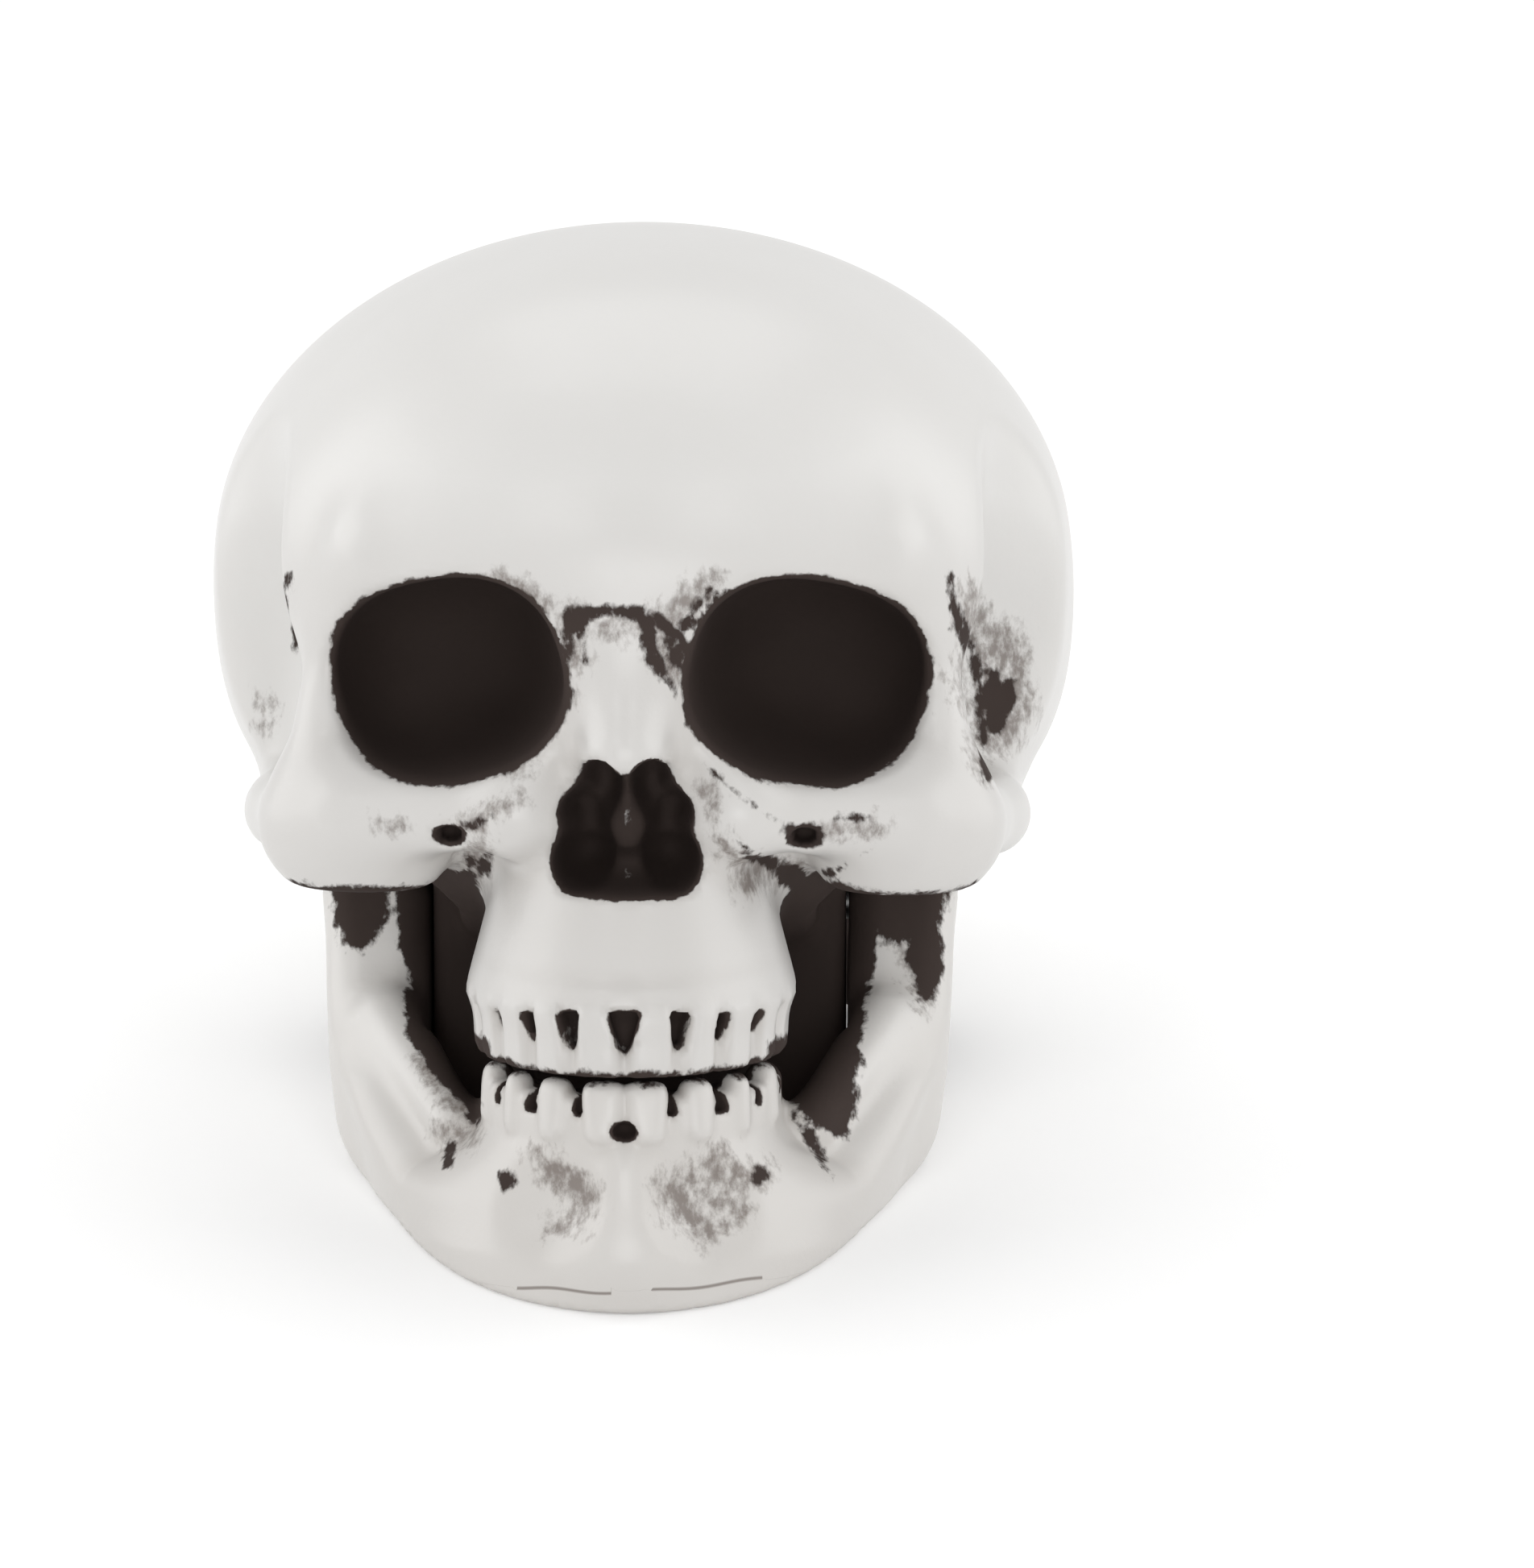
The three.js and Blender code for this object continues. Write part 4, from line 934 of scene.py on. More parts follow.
def jaw_recess(h):
    x, y, z = h.T
    # Close to the middle the paint reaches further back behind the hinge block, so the narrow slit beside
    # the block shows dark: this part is painted shade.
    rear = np.where(x < BEHIND_BLOCK_X, BEHIND_BLOCK_Y, RECESS_REAR_Y)
    return np.min([y - RECESS_FRONT_Y, rear - y, RECESS_OUTER_X - x, RECESS_TOP_Z - z], axis=0)


def mouth_inside(h):
    _, y, z = h.T
    return np.min([y - MOUTH_FRONT_Y, MOUTH_REAR_Y - y, MOUTH_ROOF_Z - z], axis=0)


# A dark line along the lower edge of each cheekbone and on its underside: partly paint, partly painted
# shade under the overhang.
def cheek_edge(h):
    x, y, z = h.T
    line = CHEEK_LINE_HALF_WIDTH - np.abs(z - CHEEK_LINE_Z)
    return np.min([line, CHEEK_LINE_REAR_Y - y, x - CHEEK_LINE_X], axis=0)


def head_hollows(h):
    nose = nose_opening(h)
    rims = [spilt(eye_socket(h), SOCKET_SPILL), spilt(nose, NOSE_SPILL),
            spilt(upper_pits(h), PIT_SPILL), spilt(cheek_nerve_hole(h), NERVE_SPILL)]
    ridge = BARE_RIDGE_PAINT + BARE_RIDGE_SLOPE * h[:, 0]
    bare_ridge = np.where(nose < BARE_RIDGE_REACH, ridge, ANY_DEPTH)
    return np.minimum(with_sunk(np.max(rims, axis=0), head_blank(h)), bare_ridge)


def head_paint(p):
    h = mirrored(p)
    bite = np.minimum(UPPER_BITE_Z - h[:, 2], BITE_REAR_Y - h[:, 1])
    layers = [head_hollows(h), jaw_recess(h), mouth_inside(h), cheek_edge(h), bite]
    layers.append(patches(p, FACE_SPECKS))
    layers.append(front_strokes(p, NOSE_ROOT_STROKES, NOSE_ROOT_REACH_Y))
    layers.append(front_strokes(p, TEMPLE_STROKES, TEMPLE_REACH_Y))
    layers.append(front_strokes(p, FOSSA_STROKES + FACE_LINES, FACE_REACH_Y))
    return np.max(layers, axis=0)


def head_wash(p):
    face_marks = front_strokes(p, FACE_STROKES, FACE_REACH_Y)
    temple_marks = front_strokes(p, TEMPLE_FADES, TEMPLE_REACH_Y)
    thin = np.max([face_marks, temple_marks, TEMPLE_FADE * patches(p, TEMPLE_HOLLOW)], axis=0)
    return np.minimum(thin - HEAD_WIPED_OFF, THICKEST_WASH)


print("paint in the middle of a socket:", np.round(head_paint(np.array([[9.2, -10.0, 32.0]])), 2), "mm")

# %% [markdown]
# The jaw is painted where it faces the dark gap behind the teeth, between the teeth, on top of its two
# branches, and in wiped patches on either side of the chin. The gap's painted edge runs lower on one side
# than on the other, so each side has its own foot: where it starts, how high, and how steeply it goes on.

# %% Where the paint lies on the jaw
BRANCH_MARKS = [
    ((-14.7, -2.8, 19.4), (1.4, 4.0, 3.6)),
    ((13.9, -2.6, 20.0), (2.7, 4.0, 3.4)),
    ((15.1, -3.3, 16.0), (0.8, 3.0, 2.4)),
]
JAW_SPECKS = [
    ((-6.1, -18.5, 6.7), (0.42, 2.5, 0.4)),
    ((6.7, -18.2, 6.9), (0.36, 2.5, 0.36)),
    ((-9.3, -13.3, 7.2), (0.45, 2.5, 0.6)),
    ((-8.2, -13.5, 8.9), (0.5, 2.5, 0.45)),
    ((-9.2, -12.5, 10.6), (0.9, 3.5, 0.6)),
    ((-8.0, -14.5, 10.0), (0.5, 2.5, 0.4)),
]
JAW_STROKES = [
    ((-4.4, 8.2), (-3.5, 7.4), 0.5, 0.8),
    ((-3.5, 7.4), (-2.1, 6.4), 0.9, 0.9),
    ((-2.1, 6.4), (-2.5, 5.2), 0.8, 0.7),
    ((-2.5, 5.2), (-3.9, 4.4), 0.6, 0.3),
    ((2.4, 6.9), (2.8, 5.6), 0.8, 0.8),
    ((2.8, 5.6), (4.2, 4.5), 0.8, 0.7),
    ((4.2, 4.5), (5.8, 5.3), 0.6, 0.5),
    ((3.4, 7.2), (4.6, 8.4), 0.7, 0.5),
    ((4.6, 7.1), (6.6, 6.9), 0.7, 0.6),
    ((3.6, 6.3), (4.8, 5.8), 0.7, 0.6),
    ((-10.4, 11.2), (-8.8, 9.6), 0.9, 0.9),
    ((-9.6, 8.0), (-8.2, 8.4), 0.6, 0.5),
    ((14.6, 16.0), (15.0, 13.6), 0.9, 0.4),
]
CORNER_LINES = [
    ((8.3, 9.2), (9.4, 7.3), 0.06, 0.04),
    ((8.9, 8.8), (10.0, 6.0), 0.07, 0.04),
]
BRANCH_FADE = 0.7
CORNER_REACH_Y = -9.0
JAW_REACH_Y = -2.0
JAW_WIPED_OFF = 0.25
GAP_EDGE_X = 11.6
GAP_EDGE_Z = 10
GAP_EDGE_SLOPE = 0.13
LEFT_FOOT_X = 8.3
LEFT_FOOT_Z = 8.5
LEFT_FOOT_SLOPE = 1.1
RIGHT_FOOT_X = 7.85
RIGHT_FOOT_Z = 9.3
RIGHT_FOOT_SLOPE = -0.67
FOOT_TILT = 0.12
FOOT_TILT_Y = -8.5
BESIDE_TEETH_Y = -12.6
MOUTH_CORNER_Y = -16.5
MOUTH_CORNER_INSET = 0.4
MOUTH_CORNER_RISE = 0.6
OUTSIDE_TEETH_ARCH = (8.5, 10.2)
BEHIND_TEETH_ARCH = (6.3, 7.9)
BEHIND_TEETH_Z = 4.0
TOOTH_GAP_ARCH = (7.95, 9.6)
TOOTH_GAP_DEPTH = 1.1
TOOTH_GAP_FOOT_Z = 10.2
TOOTH_GAP_TOP_Z = 12.4
TOOTH_GAP_STEEPNESS = 2
LOWER_BITE_Z = 12.1


def jaw_inside(p):
    x, y, z = p.T
    side = np.abs(x)
    edge = GAP_EDGE_X + GAP_EDGE_SLOPE * (z - GAP_EDGE_Z) - side
    left_foot = LEFT_FOOT_Z + LEFT_FOOT_SLOPE * (side - LEFT_FOOT_X)
    right_foot = RIGHT_FOOT_Z + RIGHT_FOOT_SLOPE * np.maximum(side - RIGHT_FOOT_X, 0)
    above_foot = z + FOOT_TILT * (y - FOOT_TILT_Y) - np.where(x < 0, left_foot, right_foot)
    beside_teeth = np.min([y - BESIDE_TEETH_Y, edge, above_foot], axis=0)
    outside_teeth = plan_ellipse(x, y - MOUTH_Y, *OUTSIDE_TEETH_ARCH)
    corner_edges = [edge - MOUTH_CORNER_INSET, above_foot - MOUTH_CORNER_RISE]
    mouth_corner = np.min([y - MOUTH_CORNER_Y, *corner_edges, outside_teeth], axis=0)
    behind_teeth = np.minimum(-plan_ellipse(x, y - MOUTH_Y, *BEHIND_TEETH_ARCH), z - BEHIND_TEETH_Z)
    return np.max([beside_teeth, mouth_corner, behind_teeth], axis=0)


def between_teeth(h):
    x, y, z = h.T
    sunk = -plan_ellipse(x, y - MOUTH_Y, *TOOTH_GAP_ARCH) - TOOTH_GAP_DEPTH
    return TOOTH_GAP_STEEPNESS * np.min([sunk, z - TOOTH_GAP_FOOT_Z, TOOTH_GAP_TOP_Z - z], axis=0)


def jaw_paint(p):
    h = mirrored(p)
    pits = with_sunk(spilt(lower_pits(h), PIT_SPILL), jaw_blank(h))
    bite = np.minimum(h[:, 2] - LOWER_BITE_Z, BITE_REAR_Y - h[:, 1])
    layers = [pits, jaw_inside(p), between_teeth(h), bite, BRANCH_FADE * patches(p, BRANCH_MARKS)]
    layers += [patches(p, JAW_SPECKS), front_strokes(p, CORNER_LINES, CORNER_REACH_Y)]
    return np.max(layers, axis=0)


def jaw_wash(p):
    return np.minimum(front_strokes(p, JAW_STROKES, JAW_REACH_Y) - JAW_WIPED_OFF, THICKEST_WASH)


print("marks on the jaw:", len(BRANCH_MARKS + JAW_SPECKS), "and wiped strokes:", len(JAW_STROKES))

# %% [markdown]
# The mould parted under the chin and left a thin, slightly wavy line there in two stretches. Everywhere
# else the stored height is too large for the line to show. The film is a painted shade, the plainest of
# the
# stored numbers: it darkens the middle of the face and fades towards the back and towards the top of the
# forehead.

# %% Parting line and painted face shade
LINE_SPANS = [(-5.6, -0.6), (1.3, 7.0)]
LINE_REAR_Y = -12.0
LINE_Z = 1.7
LINE_SLOPE = 0.03
LINE_WAVE = 0.08
LINE_WAVE_RATE = 1.3
NO_LINE = 5.0
FACE_SHADE_REAR_Y = -7.0
FACE_SHADE_FADE_LENGTH = 7
FACE_SHADE_TOP_Z = 42.0
FACE_SHADE_FADE_HEIGHT = 6


def chin_seam(p):
    x, y, z = p.T
    height = z - LINE_Z - LINE_SLOPE * x - LINE_WAVE * np.sin(LINE_WAVE_RATE * x)
    drawn = np.any([(x > start) & (x < end) for start, end in LINE_SPANS], axis=0)
    return np.where(drawn & (y < LINE_REAR_Y), height, np.copysign(NO_LINE, height))


def no_seam(p):
    return np.full(len(p), NO_LINE)


def no_wash(p):
    return np.full(len(p), -PAINT_RANGE)


# Painted shade: darkest over the middle of the face, fading out towards the back and the top of the
# forehead.
def painted_face_shade(p):
    _, y, z = p.T
    towards_face = np.clip((FACE_SHADE_REAR_Y - y) / FACE_SHADE_FADE_LENGTH, 0, 1)
    return towards_face * np.clip((FACE_SHADE_TOP_Z - z) / FACE_SHADE_FADE_HEIGHT, 0, 1)


print("parting line in", len(LINE_SPANS), "stretches, film up to", FACE_SHADE_TOP_Z, "mm")

# %% [markdown]
# With the forms and the paint ready, each moulding becomes one mesh. Its points are turned onto the table
# before the mesh is made, so the object itself stays at the origin, as the construction nodes do. The two
# corners of each room enclose the moulding, and the third value is the step of its grid.

# %% Make the three mouldings
HOLLOW_PROBE = 1.0
SLOPE_PROBE = 0.1
FACE_ROOM = ((-24, -26, 5), (24, 8, 57), 0.37)
REAR_ROOM = ((-24, 4, 6), (24, 31, 57), 0.45)
JAW_ROOM = ((-20, -26, -3), (20, 12, 24), 0.30)


def hollowness(form, points):
    slope = slope_of(form, points, SLOPE_PROBE)
    outward = slope / np.maximum(np.linalg.norm(slope, axis=1, keepdims=True), TINY)
    ahead = form(points + outward * HOLLOW_PROBE)
    return np.clip(1 - ahead / HOLLOW_PROBE, 0, 1)


def set_attribute(mesh, name, values):
    attribute = mesh.attributes.new(name, "FLOAT", "POINT")
    attribute.data.foreach_set("value", np.asarray(values, np.float32))


def make_moulding(name, form, room, paint, wash, seam):
    points, quads = surface_net(form, *room)
    turn = np.array(head_to_table)
    mesh = bpy.data.meshes.new(name)
    mesh.from_pydata((points @ turn[:3, :3].T + turn[:3, 3]).tolist(), [], quads.tolist())
    mesh.shade_smooth()
    set_attribute(mesh, "paint", np.clip(paint(points), -PAINT_RANGE, PAINT_RANGE))
    set_attribute(mesh, "wash", np.clip(wash(points), -PAINT_RANGE, PAINT_RANGE))
    # "hollow" darkens the creases, partly as paint and partly as painted shade; "film" is a painted shade
    # over the middle of the face.
    set_attribute(mesh, "hollow", hollowness(form, points))
    set_attribute(mesh, "film", painted_face_shade(points))
    set_attribute(mesh, "seam", seam(points))
    print(name, "has", len(quads), "quads")
    return put_in_scene(name, mesh)


face = make_moulding("face_moulding", face_half, FACE_ROOM, head_paint, head_wash, no_seam)
rear = make_moulding("rear_moulding", rear_half, REAR_ROOM, head_paint, no_wash, no_seam)
jaw = make_moulding("jaw_moulding", lower_jaw, JAW_ROOM, jaw_paint, jaw_wash, chin_seam)

# %% [markdown]
# Two kinds of small hardware repeat: the pins that the jaw turns on and the screws that hold the halves
# together. One of each is turned on a lathe in code, as a profile of radius and distance spun round an
# axis. A Geometry Nodes tree then sets the copies out in a row, which is what the tree is good at: the
# spacing, the count and the turn of each copy stay inputs that can be changed later.

# %% A lathe
LATHE_SIDES = 48
DOME_STEPS = 6
RIM_CHAMFER = 0.12
DOME_TIP_RADIUS = 0.02


def turned_mesh(name, profile, axis):
    shape = bmesh.new()
    ends = [shape.verts.new(Vector(axis) * along) for along in (profile[0][1], profile[-1][1])]
    start = Vector(axis).orthogonal().normalized()
    rings = []
    for radius, along in profile[1:-1]:
        ring = []
        for side in range(LATHE_SIDES):
            spin = Matrix.Rotation(2 * math.pi * side / LATHE_SIDES, 3, axis)
            ring.append(shape.verts.new(Vector(axis) * along + spin @ start * radius))
        rings.append(ring)
    for side in range(LATHE_SIDES):
        after = (side + 1) % LATHE_SIDES
        shape.faces.new((ends[0], rings[0][side], rings[0][after]))
        shape.faces.new((ends[1], rings[-1][after], rings[-1][side]))
        for low_ring, high_ring in zip(rings, rings[1:]):
            shape.faces.new((low_ring[side], high_ring[side], high_ring[after], low_ring[after]))
    bmesh.ops.recalc_face_normals(shape, faces=shape.faces)
    mesh = bpy.data.meshes.new(name)
    shape.to_mesh(mesh)
    shape.free()
    return mesh


def domed(seat, radius, thickness, edge):
    rise = [(radius - RIM_CHAMFER, seat), (radius, seat + RIM_CHAMFER), (radius, seat + edge)]
    for step in range(1, DOME_STEPS + 1):
        angle = step / DOME_STEPS * math.pi / 2
        height = seat + edge + (thickness - edge) * math.sin(angle)
        rise.append((max(radius * math.cos(angle), DOME_TIP_RADIUS), height))
    return rise + [(0, seat + thickness)]


print("a dome is turned in", DOME_STEPS, "steps,", LATHE_SIDES, "sides round")

# %% Turn one pin and one screw
PIN_TIP_X = 5.6
PIN_SEAT_X = 15.7
PIN_RADIUS = 1.0
PIN_CHAMFER = 0.3
PIN_HEAD = {"radius": 1.8, "thickness": 1.0, "edge": 0.35}
SCREW_TIP_Y = 0.425
SCREW_TIP_RADIUS = 0.25
SCREW_HEAD_Y = 11.425
SCREW_HEAD = {"radius": 2.0, "thickness": 1.6, "edge": 0.6}
SCREW_RADIUS = 1.1
BARE_SHANK = 2.0
THREAD_START = 1.0
THREAD_PITCH = 0.8
THREAD_DEPTH = 0.18


def pin_profile():
    tip = [(0, PIN_TIP_X), (PIN_RADIUS - PIN_CHAMFER, PIN_TIP_X), (PIN_RADIUS, PIN_TIP_X + PIN_CHAMFER)]
    return tip + [(PIN_RADIUS, PIN_SEAT_X)] + domed(PIN_SEAT_X, **PIN_HEAD)


def screw_profile():
    shank = [(0, SCREW_TIP_Y), (SCREW_TIP_RADIUS, SCREW_TIP_Y)]
    threads = int((SCREW_HEAD_Y - SCREW_TIP_Y - BARE_SHANK) / THREAD_PITCH)
    for turn in range(threads):
        foot = SCREW_TIP_Y + THREAD_START + turn * THREAD_PITCH
        shank += [(SCREW_RADIUS - THREAD_DEPTH, foot), (SCREW_RADIUS, foot + THREAD_PITCH / 2)]
    shank.append((SCREW_RADIUS - THREAD_DEPTH, SCREW_HEAD_Y))
    return shank + domed(SCREW_HEAD_Y, **SCREW_HEAD)


pin_mesh = turned_mesh("one_pin", pin_profile(), (1, 0, 0))
screw_mesh = turned_mesh("one_screw", screw_profile(), (0, 1, 0))
print("pin and screw faces:", len(pin_mesh.polygons), len(screw_mesh.polygons))

# %% [markdown]
# The screw head needs a cross recess for the driver. Cutting it with a Boolean modifier is simplest: two
# thin bars crossed over the head. The result is turned into a plain mesh and the cutters are thrown away.

# %% Cut the cross recess
CROSS_LENGTH = 2.3
CROSS_WIDTH = 0.5
CROSS_HEIGHT = 1.9


def plain_mesh(thing):
    return bpy.data.meshes.new_from_object(thing.evaluated_get(bpy.context.evaluated_depsgraph_get()))


def cut_cross(mesh):
    cutter_shape = bmesh.new()
    top = SCREW_HEAD_Y + SCREW_HEAD["thickness"]
    for across, along in ((CROSS_LENGTH, CROSS_WIDTH), (CROSS_WIDTH, CROSS_LENGTH)):
        place = Matrix.Translation((0, top, 0)) @ Matrix.Diagonal((across, CROSS_HEIGHT, along, 1))
        bmesh.ops.create_cube(cutter_shape, size=1, matrix=place)
    cutter_mesh = bpy.data.meshes.new("cross_cutter")
    cutter_shape.to_mesh(cutter_mesh)
    cutter_shape.free()
    cutter = put_in_scene("cross_cutter", cutter_mesh)
    blank = put_in_scene("screw_blank", mesh)
    boolean = blank.modifiers.new("cross", "BOOLEAN")
    boolean.object = cutter
    boolean.use_self = True
    result = plain_mesh(blank)
    bpy.data.objects.remove(blank)
    bpy.data.objects.remove(cutter)
    return result


screw_mesh = cut_cross(screw_mesh)
print("screw faces after the cut:", len(screw_mesh.polygons))

# %% [markdown]
# The tree: a line of points, one fastener on each, each copy turned about Z by a set angle. A pin on the
# right becomes the pin on the left with half a turn. Copies are realised, because exporting drops
# instances, and the finish is set in the tree.

# %% A tree that sets out fasteners in a row
ROW_INPUTS = {"Fastener": "NodeSocketObject", "Finish": "NodeSocketMaterial", "Count": "NodeSocketInt",
              "First": "NodeSocketVector", "Spacing": "NodeSocketVector", "Turn": "NodeSocketFloat"}


def fastener_row_tree():
    tree = bpy.data.node_groups.new("fastener_row", "GeometryNodeTree")
    for name, kind in ROW_INPUTS.items():
        tree.interface.new_socket(name, in_out="INPUT", socket_type=kind)
    tree.interface.new_socket("Geometry", in_out="OUTPUT", socket_type="NodeSocketGeometry")
    given = tree.nodes.new("NodeGroupInput")
    line = tree.nodes.new("GeometryNodeMeshLine")
    info = tree.nodes.new("GeometryNodeObjectInfo")
    index = tree.nodes.new("GeometryNodeInputIndex")
    turn = tree.nodes.new("ShaderNodeMath")
    turn.operation = "MULTIPLY"
    euler = tree.nodes.new("ShaderNodeCombineXYZ")
    copies = tree.nodes.new("GeometryNodeInstanceOnPoints")
    real = tree.nodes.new("GeometryNodeRealizeInstances")
    finish = tree.nodes.new("GeometryNodeSetMaterial")
    out = tree.nodes.new("NodeGroupOutput")
    joins = [(given, "Count", line, "Count"), (given, "First", line, "Start Location"),
             (given, "Spacing", line, "Offset"), (given, "Fastener", info, "Object"),
             (index, "Index", turn, 0), (given, "Turn", turn, 1), (turn, "Value", euler, "Z"),
             (line, "Mesh", copies, "Points"), (info, "Geometry", copies, "Instance"),
             (euler, "Vector", copies, "Rotation"), (copies, "Instances", real, "Geometry"),
             (real, "Geometry", finish, "Geometry"), (given, "Finish", finish, "Material"),
             (finish, "Geometry", out, "Geometry")]
    for source, output, target, socket in joins:
        tree.links.new(source.outputs[output], target.inputs[socket])
    return tree


row_tree = fastener_row_tree()
print("tree inputs:", list(ROW_INPUTS))

# %% [markdown]
# Materials are node trees. A few small helpers make a node, set its options and fill its sockets from
# values or links, which keeps the trees below short enough to read.

# %% Node helpers
def add_node(tree, kind, options=None, sockets=None):
    node = tree.nodes.new(kind)
    for name, value in (options or {}).items():
        setattr(node, name, value)
    for name, value in (sockets or {}).items():
        if isinstance(value, bpy.types.NodeSocket):
            tree.links.new(value, node.inputs[name])
        else:
            node.inputs[name].default_value = value
    return node


def math_node(tree, operation, first, second):
    return add_node(tree, "ShaderNodeMath", {"operation": operation}, {0: first, 1: second}).outputs[0]


def mix_colour(tree, share, first, second):
    node = add_node(tree, "ShaderNodeMix", {"data_type": "RGBA"}, {0: share, 6: first, 7: second})
    return node.outputs[2]


def map_range(tree, sockets, interpolation="LINEAR"):
    node = add_node(tree, "ShaderNodeMapRange", {"interpolation_type": interpolation}, sockets)
    return node.outputs["Result"]


def noise(tree, place, **settings):
    return add_node(tree, "ShaderNodeTexNoise", None, {"Vector": place, **settings}).outputs["Fac"]


def object_place(tree):
    return add_node(tree, "ShaderNodeTexCoord").outputs["Object"]


def named_attribute(tree, name):
    return add_node(tree, "ShaderNodeAttribute", {"attribute_name": name}).outputs["Fac"]


def new_material(name):
    material = bpy.data.materials.new(name)
    material.use_nodes = True
    return material, material.node_tree, material.node_tree.nodes["Principled BSDF"].inputs


def new_group(name, inputs, outputs):
    group = bpy.data.node_groups.new(name, "ShaderNodeTree")
    for socket in inputs:
        group.interface.new_socket(socket, in_out="INPUT", socket_type="NodeSocketFloat")
    for socket in outputs:
        group.interface.new_socket(socket, in_out="OUTPUT", socket_type="NodeSocketFloat")
    return group, group.nodes.new("NodeGroupInput").outputs, group.nodes.new("NodeGroupOutput").inputs


def use_group(tree, group, sockets):
    return add_node(tree, "ShaderNodeGroup", {"node_tree": group}, sockets).outputs


print("node helpers ready")

# %% [markdown]
# Brushed paint never ends in a clean line: the bristles leave a ragged edge, longer up and down than
# across, with a finer fringe on it. This group takes the stored millimetres, adds two sizes of noise to
# them and only then cuts them off at zero. Both mouldings use it, for paint and for wash.

# %% Group: ragged brush edge
BLOTCH = {"Scale": 420.0, "Detail": 3.0, "Roughness": 0.6}
STREAK = {"Detail": 4.0, "Roughness": 0.65}
STREAK_STRETCH = (1.0, 1.0, 0.6)
NOISE_MIDDLE = 0.5


def brush_edge_group():
    wanted = ["Depth", "Ragged", "Fringe", "Grain", "Softness"]
    group, given, out = new_group("brush_edge", wanted, ["Mask"])
    place = object_place(group)
    stretch = add_node(group, "ShaderNodeMapping", None, {"Vector": place, "Scale": STREAK_STRETCH})
    blotch = noise(group, place, **BLOTCH)
    streak = noise(group, stretch.outputs["Vector"], Scale=given["Grain"], **STREAK)
    wide = math_node(group, "SUBTRACT", blotch, NOISE_MIDDLE)
    wide = math_node(group, "MULTIPLY", wide, given["Ragged"])
    fine = math_node(group, "SUBTRACT", streak, NOISE_MIDDLE)
    fine = math_node(group, "MULTIPLY", fine, given["Fringe"])
    depth = math_node(group, "ADD", math_node(group, "ADD", wide, fine), given["Depth"])
    under = math_node(group, "MULTIPLY", given["Softness"], -1.0)
    limits = {"Value": depth, "From Min": under, "From Max": given["Softness"]}
    group.links.new(map_range(group, limits, "SMOOTHSTEP"), out["Mask"])
    return group


brush_edge = brush_edge_group()
print("brush edge group has", len(brush_edge.nodes), "nodes")

# %% [markdown]
# Moulded plastic is not one colour either: it clouds a little, and its skin has a fine orange-peel grain.
# This group gives a slow cloud for the colour and a height for the bump.

# %% Group: moulded skin
SWELL = {"Scale": 260.0, "Detail": 1.0}
RIPPLE_SHARE = 0.35


def moulded_skin_group():
    group, given, out = new_group("moulded_skin", ["Cloud size", "Grain size"], ["Cloud", "Height"])
    place = object_place(group)
    cloud = noise(group, place, Scale=given["Cloud size"], Detail=4.0)
    grain = noise(group, place, Scale=given["Grain size"], Detail=2.0)
    ripple = math_node(group, "MULTIPLY", grain, RIPPLE_SHARE)
    height = math_node(group, "ADD", ripple, noise(group, place, **SWELL))
    group.links.new(cloud, out["Cloud"])
    group.links.new(height, out["Height"])
    return group


moulded_skin = moulded_skin_group()
print("moulded skin group has", len(moulded_skin.nodes), "nodes")

# %% [markdown]
# The bone finish puts it together: a warm white that clouds between two tints, a grey-brown darkening in
# the creases that is partly paint left there and partly painted shade, a faint painted shade over the
# middle of the face, the parting line, thin wiped paint over that, and solid paint on top. Paint is a
# little less glossy than the plastic, so the masks drive the roughness too.

# %% Bone plastic with rubbed paint
SKIN_SIZES = {"Cloud size": 130.0, "Grain size": 2600.0}
# Creases darken towards this tint, partly as paint left in them and partly as painted shade.
CREASE_PAINT_AND_SHADE_TINT = (0.30, 0.26, 0.22, 1)
CREASE_PAINT_AND_SHADE_SHARE = 0.45
# Painted shade over the middle of the face, towards this tint.
FACE_SHADE_TINT = (0.30, 0.26, 0.23, 1)
FACE_SHADE_SHARE = 0.15
LINE_FADE = {"From Min": 0.14, "From Max": 0.02, "To Max": 0.7}
THIN_PAINT = (0.10, 0.068, 0.052, 1)
THIN_PAINT_SHARE = 0.76
WIPED_BRUSH = {"Ragged": 1.2, "Fringe": 3.2, "Grain": 1900.0, "Softness": 0.7}
DARK_PAINT = (0.036, 0.026, 0.023, 1)
LIGHT_PAINT = (0.058, 0.043, 0.038, 1)
SOLID_BRUSH = {"Ragged": 1.5, "Fringe": 0.8, "Grain": 2200.0, "Softness": 0.16}
GLOSS = {"Roughness": (0.32, 0.8), "Specular IOR Level": (0.5, 0.12)}
PAINT_THICKNESS = 0.5
RELIEF = {"Strength": 0.25, "Distance": 0.00012}


def bare_bone(tree, cloud, light_tint, dark_tint):
    bone = mix_colour(tree, cloud, (*dark_tint, 1), (*light_tint, 1))
    # Darker in the creases: partly paint left there, partly painted shade.
    crease = math_node(tree, "MULTIPLY", named_attribute(tree, "hollow"), CREASE_PAINT_AND_SHADE_SHARE)
    bone = mix_colour(tree, crease, bone, CREASE_PAINT_AND_SHADE_TINT)
    # Painted shade over the middle of the face.
    film = math_node(tree, "MULTIPLY", named_attribute(tree, "film"), FACE_SHADE_SHARE)
    return mix_colour(tree, film, bone, FACE_SHADE_TINT)


